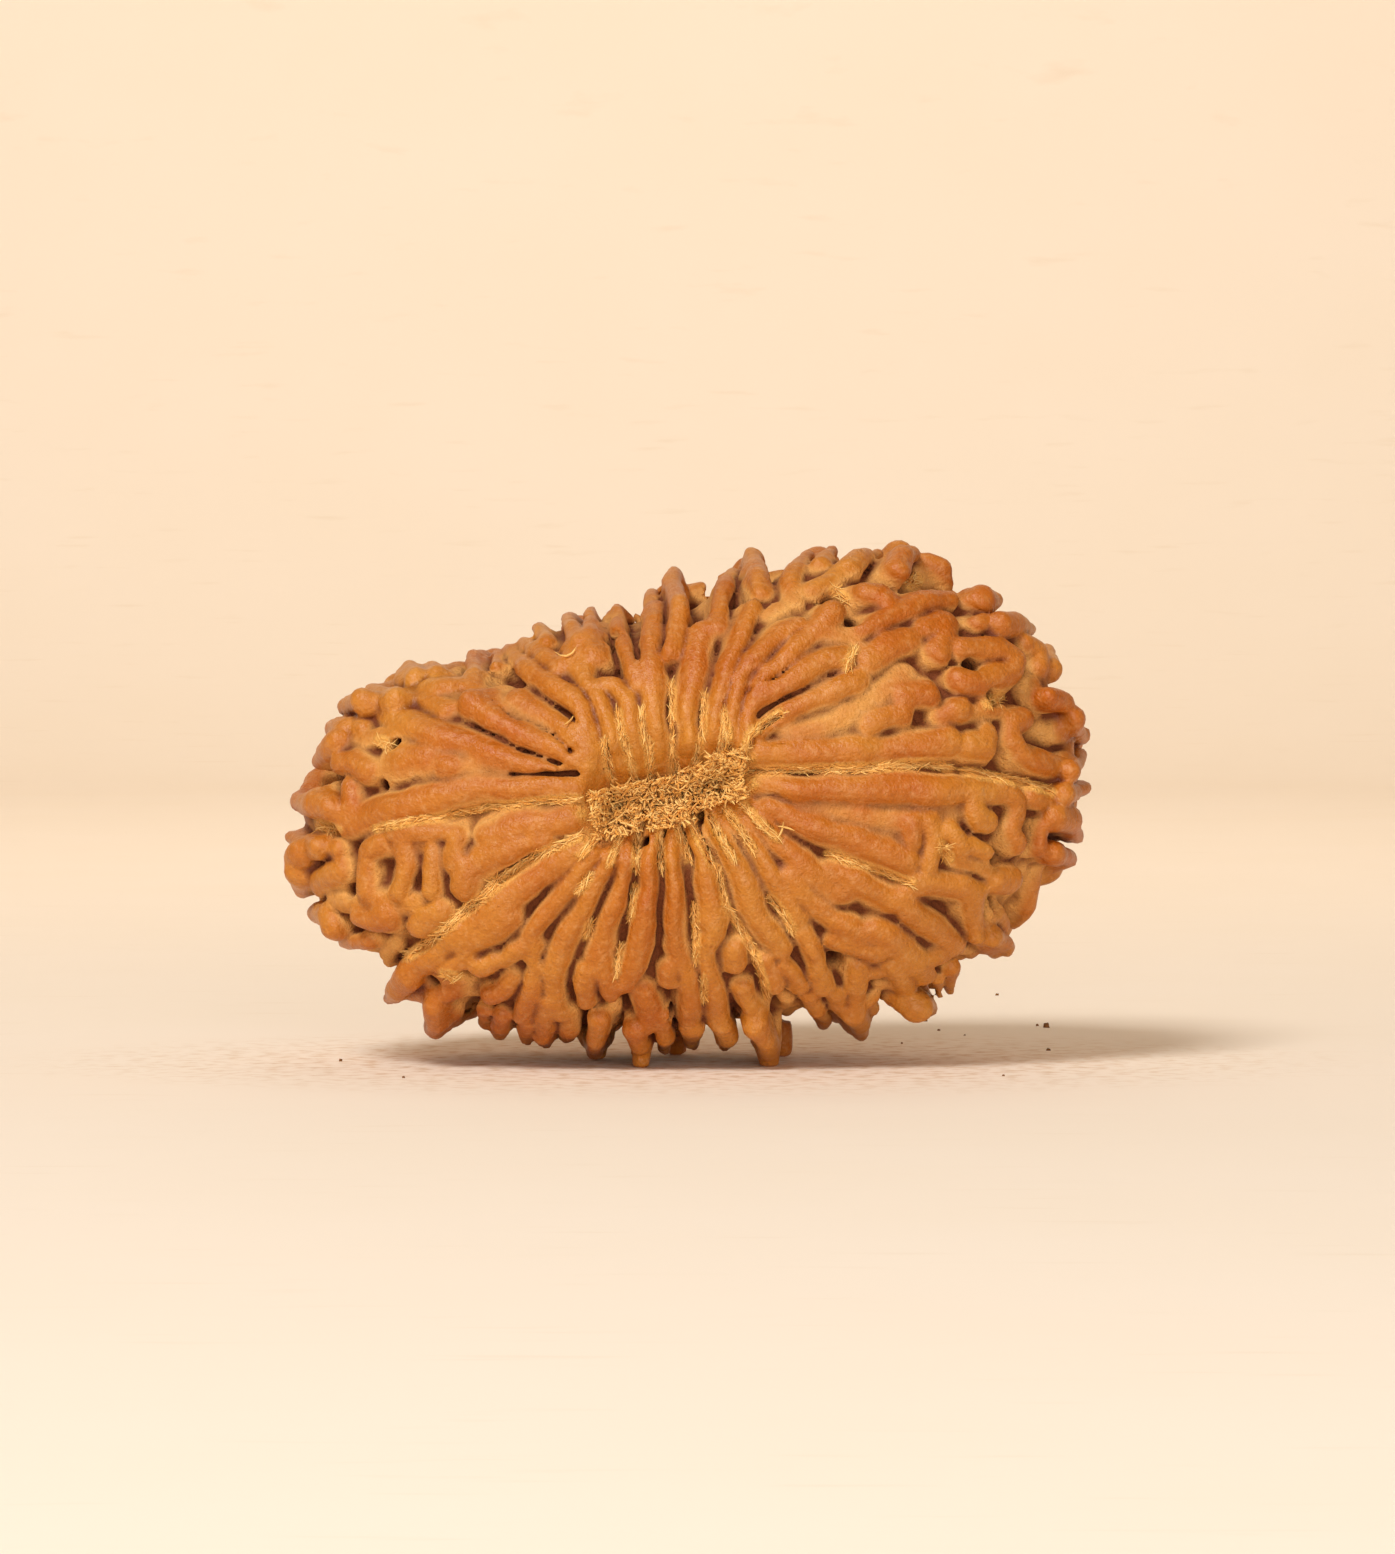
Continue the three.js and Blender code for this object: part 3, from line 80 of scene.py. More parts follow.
# Front ridges and knobs: radius at the start and at the end, then x and z along the middle
RIDGES = [
    # Left of the mouth, over the groove that runs straight left
    [0.5, 0.8, -4.8, 12.5, -6.2, 12.6, -7.6, 12.4, -9.0, 12.4, -11.0, 12.0, -12.6, 11.5,
        -14.4, 10.8],
    [0.5, 0.75, -5.7, 13.1, -7.0, 13.5, -8.4, 13.8, -9.8, 14.2, -11.2, 14.6, -12.6, 15.1,
        -13.6, 15.3],
    [0.5, 0.5, -10.5, 13.3, -10.3, 13.3],
    [0.5, 0.6, -15.2, 13.3, -14.5, 13.3, -13.9, 13.1],
    [0.6, 0.6, -14.6, 12.3, -14.5, 11.5, -14.8, 10.6],
    [0.45, 0.5, -15.6, 14.7, -15.0, 14.7, -14.2, 14.7],
    # Left of the mouth, under that groove
    [0.6, 0.85, -5.1, 11.1, -6.2, 11.0, -7.4, 10.8, -8.4, 10.4],
    [0.7, 0.75, -6.3, 10.4, -7.3, 9.9, -8.2, 9.6, -8.8, 9.4],
    [0.4, 0.4, -9.9, 10.5, -10.9, 10.5, -12.0, 10.6, -12.7, 10.6],
    [0.45, 0.45, -9.9, 10.4, -10.1, 9.8, -10.0, 9.3],
    [0.55, 0.55, -9.6, 9.1, -9.5, 8.5, -9.6, 8.1],
    [0.42, 0.42, -10.9, 9.8, -11.0, 9.1, -11.1, 8.1],
    [0.45, 0.5, -12.2, 9.9, -12.1, 9.2, -12.3, 8.4, -12.5, 7.9],
    [0.5, 0.5, -13.2, 10.0, -13.9, 9.6, -13.9, 8.8, -13.9, 8.0],
    [0.45, 0.5, -15.2, 9.6, -16.2, 9.6, -17.1, 9.7],
    [0.75, 0.7, -15.9, 8.2, -15.3, 8.5, -14.9, 8.6],
    [0.6, 0.6, -14.2, 6.8, -13.5, 6.7, -12.9, 6.9],
    [0.6, 0.55, -11.6, 6.5, -11.1, 7.0, -10.7, 7.2],
    # Lower left, from the mouth to the long finger
    [0.6, 0.9, -4.7, 9.9, -5.7, 9.1, -6.7, 8.3, -7.7, 7.6, -8.7, 6.9, -9.8, 6.2],
    [0.7, 0.7, -7.6, 6.9, -8.6, 6.3, -9.6, 5.7],
    [0.6, 0.55, -10.2, 5.9, -11.0, 5.2, -11.8, 4.6, -12.3, 4.0],
    [0.5, 0.45, -9.4, 5.2, -10.0, 4.8, -10.6, 4.6],
    [0.45, 0.45, -12.2, 3.3, -11.2, 3.4, -10.4, 3.5],
    [0.45, 0.45, -8.4, 5.0, -9.0, 4.7],
    # Under the mouth, from left to right
    [0.25, 0.35, -4.1, 9.7, -4.5, 9.1, -5.1, 8.2, -5.7, 7.4, -6.3, 6.7, -6.8, 6.0],
    [0.45, 0.4, -6.8, 5.7, -7.4, 5.3, -7.9, 4.9],
    [0.4, 0.4, -6.6, 5.6, -6.7, 5.0, -6.5, 4.6],
    [0.3, 0.5, -3.4, 9.6, -3.7, 8.9, -4.1, 8.1, -4.5, 7.3, -5.0, 6.5, -5.4, 5.7, -5.7, 4.9,
        -5.9, 4.3],
    [0.3, 0.5, -2.65, 9.9, -2.7, 9.4, -2.8, 8.4, -3.1, 7.5, -3.5, 6.6, -3.8, 5.8, -4.0, 5.2],
    [0.25, 0.6, -1.6, 10.2, -1.7, 9.2, -1.7, 8.3, -1.75, 7.4, -1.9, 6.5, -2.1, 5.6,
        -2.4, 4.8, -2.9, 4.1],
    [0.6, 0.55, -2.0, 3.7, -1.8, 3.0, -1.75, 2.2],
    [0.22, 0.5, -0.85, 10.3, -0.75, 9.3, -0.6, 8.4, -0.55, 7.4, -0.55, 6.4, -0.45, 5.6],
    [0.45, 0.4, -0.3, 5.1, 0.0, 4.4, 0.1, 3.6, 0.05, 2.8, 0.1, 2.3],
    [0.4, 0.4, -0.8, 4.6, -0.8, 4.0],
    [0.22, 0.6, -0.1, 10.7, 0.3, 9.9, 0.6, 9.2, 0.85, 8.4, 0.9, 7.6, 0.85, 7.0],
    [0.5, 0.4, 1.1, 6.7, 1.1, 6.3, 0.85, 5.7],
    [0.4, 0.42, 0.8, 5.6, 0.95, 4.8, 1.15, 4.0, 1.25, 3.2, 1.3, 2.5],
    [0.22, 0.6, 0.8, 11.1, 1.3, 10.4, 1.7, 9.7, 2.1, 9.0, 2.4, 8.2, 2.7, 7.5],
    [0.55, 0.5, 2.7, 7.5, 3.1, 6.8, 3.6, 6.1, 4.0, 5.5],
    [0.6, 0.55, 2.0, 5.5, 2.1, 4.9],
    [0.5, 0.5, 2.4, 3.9, 2.6, 3.2, 2.9, 2.6],
    [0.35, 0.35, 3.4, 5.0, 3.6, 4.4, 3.8, 3.8],
    [0.28, 0.28, 4.1, 4.8, 4.5, 4.3, 4.9, 3.7],
    [0.22, 0.5, 1.7, 11.4, 2.2, 10.8, 2.8, 10.0, 3.3, 9.2, 3.8, 8.3, 4.2, 7.6, 4.7, 6.9],
    [0.5, 0.5, 5.0, 6.3, 5.3, 5.4, 5.6, 4.5, 5.9, 3.8],
    [0.4, 0.42, -4.4, 4.6, -4.5, 3.9, -4.5, 3.2],
    [0.35, 0.35, -3.8, 5.0, -3.6, 4.2, -3.5, 3.5],
    [0.45, 0.45, -5.9, 3.8, -5.8, 3.1, -5.6, 2.6],
    [0.4, 0.42, -6.2, 3.2, -6.3, 2.5, -6.3, 1.9],
    [0.4, 0.4, -6.7, 4.3, -6.8, 3.6, -7.1, 3.0, -7.3, 2.4],
    [0.5, 0.5, -7.6, 4.3, -7.9, 3.8, -8.5, 3.5],
    # Lower right, between the mouth and the low fingers
    [0.4, 0.75, 2.6, 11.6, 3.1, 11.0, 3.9, 10.1, 4.8, 9.4, 5.6, 8.7, 6.4, 8.0],
    [0.65, 0.6, 4.4, 8.8, 5.0, 8.0, 5.7, 7.3, 6.5, 6.7, 7.3, 6.2],
    [0.65, 0.6, 6.1, 9.0, 7.0, 8.6, 7.9, 8.1, 8.5, 7.8],
    [0.5, 0.45, 6.2, 5.9, 7.2, 5.7, 8.2, 5.4],
    [0.65, 0.6, 7.9, 6.4, 8.6, 6.1, 9.3, 5.5, 9.8, 4.9],
    [0.5, 0.55, 8.9, 7.9, 9.6, 7.2, 10.3, 6.6, 11.0, 6.0, 11.4, 5.5],
    [0.6, 0.6, 9.5, 8.5, 10.5, 8.3, 11.5, 8.1, 12.3, 7.8],
    [0.5, 0.45, 7.3, 4.7, 7.4, 3.8, 7.35, 2.9],
    [0.4, 0.35, 6.5, 3.4, 6.8, 2.5],
    [0.45, 0.45, 8.9, 4.9, 9.3, 4.2, 9.6, 3.7],
    [0.5, 0.45, 9.9, 4.9, 10.3, 4.1],
    [0.55, 0.5, 12.3, 7.2, 12.4, 6.4, 12.7, 6.2],
    [0.65, 0.65, 13.3, 8.4, 13.8, 8.3],
    # Right of the mouth, under the groove that runs straight right
    [0.6, 0.65, 2.9, 12.5, 4.2, 12.5, 5.6, 12.5, 7.0, 12.4, 8.4, 12.4, 9.8, 12.3, 11.2, 12.3],
    [0.5, 0.6, 3.4, 11.5, 4.6, 11.2, 5.8, 10.8, 7.0, 10.3, 8.2, 9.9, 9.2, 9.4],
    [0.6, 0.5, 11.9, 12.2, 12.8, 12.1, 13.6, 12.1, 14.1, 11.6, 14.1, 11.0, 13.9, 10.3, 14.2, 9.9],
    [0.6, 0.6, 12.1, 11.5, 12.4, 11.0, 12.8, 10.9],
    [0.4, 0.4, 12.1, 9.9, 12.8, 9.6],
    [0.4, 0.4, 11.1, 10.7, 11.5, 10.2, 11.6, 9.7],
    [0.45, 0.45, 10.35, 10.9, 10.4, 10.0, 10.2, 9.1],
    [0.4, 0.4, 9.6, 10.9, 9.6, 10.2],
    [0.5, 0.5, 14.8, 11.8, 15.6, 11.5],
    [0.4, 0.4, 15.3, 10.4, 15.3, 9.7],
    # Right of the mouth, over that groove
    [0.6, 0.65, 3.0, 14.0, 4.4, 14.1, 5.8, 14.1, 7.2, 14.1, 8.6, 14.1, 10.0, 14.3, 11.0, 14.3],
    [0.65, 0.65, 11.9, 14.1, 12.7, 14.1, 12.8, 14.5],
    [0.35, 0.6, 2.9, 14.8, 3.6, 15.4, 4.5, 16.0, 5.5, 16.4, 6.4, 16.8, 7.2, 17.0],
    [0.55, 0.6, 7.8, 15.1, 8.6, 15.4, 9.2, 15.6],
    [0.7, 0.7, 9.3, 16.3, 10.1, 16.3],
    [0.55, 0.55, 11.4, 15.6, 11.6, 15.6],
    [0.6, 0.6, 14.6, 15.2, 13.9, 15.1, 13.9, 14.4, 14.3, 13.7, 15.2, 13.3, 16.0, 13.0, 16.4, 13.6,
        16.4, 14.4, 16.0, 14.9],
    [0.55, 0.6, 11.7, 18.3, 12.6, 18.3, 13.4, 18.2, 14.0, 17.8, 13.9, 17.3, 13.2, 17.1, 12.4, 16.9,
        11.6, 16.9],
    [0.5, 0.5, 14.6, 18.6, 15.2, 18.1, 15.3, 17.4],
    [0.45, 0.45, 12.3, 19.4, 12.6, 19.5],
    # Over the mouth, from right to left
    [0.4, 0.6, 2.9, 16.3, 3.8, 16.8, 4.8, 17.4, 5.8, 18.0, 6.5, 18.0],
    [0.4, 0.6, 3.4, 17.5, 4.3, 18.2, 5.2, 19.0, 5.9, 19.7, 6.2, 19.9],
    [0.3, 0.5, 2.2, 17.2, 2.8, 18.0, 3.4, 18.7, 4.1, 19.2, 4.6, 19.4],
    [0.25, 0.45, 2.2, 14.2, 2.4, 14.9, 2.55, 15.6, 2.8, 16.3, 3.1, 16.9, 3.5, 17.4],
    [0.22, 0.35, 1.5, 13.9, 1.7, 14.7, 1.8, 15.5, 2.0, 16.3, 2.2, 17.0],
    [0.2, 0.4, 0.9, 13.9, 1.0, 14.7, 1.05, 15.5, 1.2, 16.3, 1.45, 17.1, 1.75, 17.9, 2.05, 18.7,
        2.4, 19.5, 2.8, 20.2],
    [0.3, 0.6, 0.1, 13.6, 0.1, 14.6, 0.0, 15.5, 0.1, 16.4, 0.3, 17.3, 0.4, 18.2, 0.6, 19.0],
    [0.3, 0.6, -1.2, 13.4, -1.3, 14.2, -1.35, 15.0, -1.45, 15.9, -1.5, 16.8, -1.5, 17.7,
        -1.45, 18.6],
    [0.22, 0.45, -1.95, 13.4, -2.2, 14.0, -2.4, 14.8, -2.6, 15.6, -2.7, 16.3, -3.2, 16.8,
        -3.7, 16.8],
    [0.22, 0.45, -3.0, 13.3, -3.3, 14.3, -3.5, 15.1, -3.7, 15.8, -4.0, 16.4,
        -4.4, 16.9, -4.8, 17.4, -5.3, 17.7],
    [0.45, 0.6, -4.4, 13.1, -4.35, 13.9, -4.4, 14.6],
    [0.4, 0.55, -4.8, 14.3, -5.3, 15.0, -6.0, 15.5, -6.8, 15.9, -7.4, 16.2],
    [0.4, 0.7, -4.9, 13.5, -5.6, 14.0, -6.4, 14.5, -7.3, 14.9, -8.3, 15.3, -9.2, 15.8],
    [0.45, 0.45, -10.4, 15.6, -11.3, 16.0, -12.2, 16.3],
    [0.5, 0.5, -10.6, 16.5, -11.4, 16.5],
    [0.45, 0.4, -4.5, 17.4, -4.9, 17.9, -5.2, 18.3],
    [0.5, 0.5, 7.5, 20.8, 8.1, 20.7, 8.5, 20.3],
    [0.5, 0.5, 7.4, 19.2, 8.2, 19.5, 9.1, 19.9, 10.1, 20.3, 11.2, 20.5],
    [0.7, 0.7, 7.7, 17.8, 8.6, 18.3, 9.4, 18.6],
    [0.6, 0.65, 10.1, 19.1, 11.0, 19.4, 10.9, 18.7, 10.6, 18.1],
    [0.5, 0.5, 5.3, 20.9, 6.2, 21.3, 7.0, 21.8],
]

# Fingers of the outline, written the same way, each ending in its tip
FINGERS = [
    [0.45, 0.45, 16.3, 11.9, 17.35, 12.05],
    [0.45, 0.45, 16.6, 12.9, 17.3, 13.5],
    [0.45, 0.45, 16.9, 15.3, 17.4, 14.5],
    [0.45, 0.45, 15.6, 16.2, 16.4, 16.0, 17.0, 15.2],
    [0.45, 0.45, 15.9, 17.3, 15.9, 18.0],
    [0.55, 0.5, 13.4, 19.3, 14.3, 19.4, 15.0, 19.1],
    [0.6, 0.55, 12.6, 20.4, 13.4, 20.4],
    [0.5, 0.5, 10.5, 21.9, 11.1, 21.7, 11.25, 21.0],
    [0.55, 0.55, 9.0, 21.7, 9.3, 22.4, 9.7, 22.4],
    [0.5, 0.5, 7.0, 21.8, 7.4, 22.3, 8.0, 22.35],
    [0.45, 0.45, 5.8, 21.9, 6.25, 22.5],
    [0.5, 0.5, 4.5, 20.4, 4.5, 21.2, 4.8, 21.8, 5.15, 22.3],
    [0.5, 0.5, 3.2, 20.6, 3.1, 21.4, 2.95, 22.2],
    [0.4, 0.45, 1.1, 19.2, 1.3, 20.0, 1.6, 20.9, 1.85, 21.4],
    [0.4, 0.5, -0.6, 18.4, -0.4, 19.2, -0.5, 20.2, -0.65, 21.4],
    [0.5, 0.5, -1.45, 18.6, -1.5, 19.5, -1.65, 20.45],
    [0.35, 0.4, -2.1, 16.9, -2.4, 17.6, -2.7, 18.3, -2.9, 19.0, -3.2, 19.9],
    [0.4, 0.4, -3.7, 17.8, -3.7, 18.6, -3.6, 19.6],
    [0.45, 0.45, -4.1, 18.0, -4.2, 18.9, -4.4, 19.8],
    [0.4, 0.42, -4.7, 18.5, -5.1, 19.1, -5.3, 19.55],
    [0.4, 0.4, -5.4, 18.3, -5.6, 18.7],
    [0.4, 0.45, -6.2, 18.6, -6.5, 19.1],
    [0.45, 0.42, -5.6, 17.5, -6.3, 18.0, -6.9, 18.3, -7.2, 18.4],
    [0.5, 0.42, -4.4, 14.8, -4.6, 15.6, -5.1, 16.2, -5.8, 16.7, -6.5, 17.1, -7.2, 17.5,
        -7.9, 18.15],
    [0.3, 0.3, -8.4, 17.5, -8.5, 18.0],
    [0.6, 0.45, -9.2, 16.2, -9.4, 17.0, -9.6, 17.9],
    [0.4, 0.4, -10.3, 16.8, -10.3, 17.15],
    [0.4, 0.38, -11.0, 17.1, -11.35, 17.45],
    [0.4, 0.4, -12.0, 17.0, -12.3, 17.5],
    [0.35, 0.35, -12.4, 16.8, -12.6, 17.2],
    [0.6, 0.6, -12.8, 16.0, -13.9, 16.3],
    [0.6, 0.6, -14.2, 15.9, -15.0, 15.75],
    [0.45, 0.45, -15.0, 14.7, -15.6, 14.7],
    [0.55, 0.5, -15.3, 14.2, -15.7, 13.8, -16.2, 13.35],
    [0.6, 0.7, -15.5, 11.3, -16.2, 11.6, -17.0, 11.5],
    [0.45, 0.6, -16.2, 9.6, -17.3, 9.8],
    [0.6, 0.65, -17.0, 9.4, -17.3, 8.8],
    [0.6, 0.65, -17.0, 8.6, -17.1, 8.0],
    [0.6, 0.6, -15.4, 6.2, -15.7, 6.8, -16.3, 6.8],
    [0.45, 0.45, -13.8, 5.7, -14.4, 5.6, -15.1, 5.5],
    [0.45, 0.4, -12.6, 5.7, -13.0, 5.1, -13.2, 4.6],
    [0.5, 0.5, -12.1, 4.2, -12.8, 3.4, -13.15, 2.9],
    [0.5, 0.5, -11.1, 2.9, -11.1, 2.0, -11.35, 1.45],
    [0.55, 0.55, -9.9, 3.7, -10.0, 2.85],
    [0.35, 0.35, -8.8, 2.7, -9.0, 1.75],
    [0.4, 0.4, -8.0, 2.6, -8.2, 1.9, -8.3, 1.4],
    [0.4, 0.4, -7.0, 2.2, -7.15, 1.1],
    [0.38, 0.38, -6.3, 1.6, -6.35, 0.95],
    [0.4, 0.45, -5.2, 2.8, -5.2, 1.9, -5.3, 1.2],
    [0.4, 0.5, -4.0, 2.4, -4.1, 1.3, -4.15, 0.5],
    [0.4, 0.42, -3.3, 3.3, -3.4, 2.5, -3.45, 1.8],
    [0.45, 0.5, -2.4, 1.9, -2.15, 1.1, -2.1, 0.45],
    [0.35, 0.42, -1.1, 2.4, -1.0, 1.5, -1.0, 0.7],
    [0.42, 0.42, 0.2, 1.9, 0.2, 0.85],
    [0.42, 0.42, 1.35, 2.1, 1.6, 1.4, 1.6, 0.8],
    [0.5, 0.5, 2.8, 2.0, 3.2, 1.4, 3.4, 0.8, 3.45, 0.45],
    [0.42, 0.42, 4.2, 3.3, 4.35, 2.3],
    [0.35, 0.4, 5.4, 3.3, 5.7, 2.5, 5.95, 1.65],
    [0.5, 0.5, 7.3, 2.5, 7.5, 1.4],
    [0.4, 0.42, 7.95, 3.2, 7.8, 2.0],
    [0.4, 0.4, 8.3, 4.2, 8.6, 3.5, 8.5, 2.95],
    [0.6, 0.6, 9.9, 2.8, 10.5, 2.55],
    [0.3, 0.3, 10.8, 3.9, 11.1, 3.15],
    [0.42, 0.42, 11.4, 4.5, 11.6, 3.4],
    [0.4, 0.4, 10.6, 5.1, 11.6, 5.4, 12.5, 4.9],
    [0.4, 0.42, 12.5, 5.9, 13.5, 4.85],
    [0.4, 0.4, 13.3, 5.7, 14.05, 4.9],
    [0.6, 0.55, 15.0, 8.9, 14.9, 7.9, 14.7, 7.0, 14.45, 6.25],
    [0.5, 0.45, 15.9, 9.4, 16.7, 9.05],
    [0.6, 0.55, 15.9, 10.9, 16.8, 10.8, 17.1, 10.1],
]

# Low ground between ridges, written the same way
VALLEYS = [
    [0.6, 1.3, -6.5, 13.1, -8.0, 13.2, -9.5, 13.4, -11.0, 13.3, -12.4, 13.2],
    [0.6, 0.6, -14.8, 14.0, -13.8, 14.2, -12.8, 14.4],
    [0.6, 0.6, -16.4, 10.9, -15.6, 10.5],
    [0.6, 0.6, -15.3, 7.5, -14.6, 7.3, -13.2, 7.6, -12.2, 7.4, -11.6, 7.6],
    [0.4, 0.4, -12.9, 9.9, -12.0, 10.0, -11.0, 10.0],
    [0.5, 0.5, -11.5, 3.9, -10.8, 4.3, -10.0, 4.1],
    [0.6, 1.0, 4.6, 11.9, 6.2, 11.6, 7.8, 11.2, 9.4, 11.0, 10.8, 11.2],
    [0.6, 1.2, 4.0, 14.8, 5.4, 15.1, 6.8, 15.6, 8.0, 16.1, 9.0, 16.7],
    [0.5, 0.5, 5.8, 18.9, 6.7, 18.8, 7.4, 18.3],
    [0.5, 0.5, 3.9, 20.0, 3.3, 19.6],
    [0.5, 0.5, 6.0, 22.0, 5.6, 21.6],
    [0.5, 0.5, 12.6, 15.8, 13.2, 15.6, 10.6, 15.3],
    [0.5, 0.5, 14.9, 16.6, 15.4, 16.2, 15.2, 17.2],
    [0.5, 0.5, 13.3, 6.9, 13.6, 6.2],
    [0.5, 0.5, 7.0, 4.9, 8.2, 4.6],
    [0.5, 0.5, 11.4, 9.2, 12.6, 8.9],
    [0.5, 0.5, 9.2, 10.0, 9.3, 8.9],
]

# Hollows sunk into the knobs: radius, x and z
HOLLOWS = [
    [0.3, -13.0, 14.3],
    [0.3, -13.5, 12.5],
    [0.35, -14.9, 7.7],
    [0.35, -9.7, 4.2],
    [0.3, -11.2, 3.9],
    [0.35, -4.75, 19.5],
    [0.35, -3.3, 18.9],
    [0.4, 7.1, 19.8],
    [0.45, 6.5, 20.8],
    [0.35, 9.9, 21.3],
    [0.45, 12.3, 17.7],
    [0.5, 13.3, 16.2],
    [0.3, 15.1, 14.15],
    [0.35, 13.5, 9.3],
    [0.4, 13.8, 6.8],
    [0.45, 6.5, 4.7],
    [0.35, -0.8, 2.4],
]

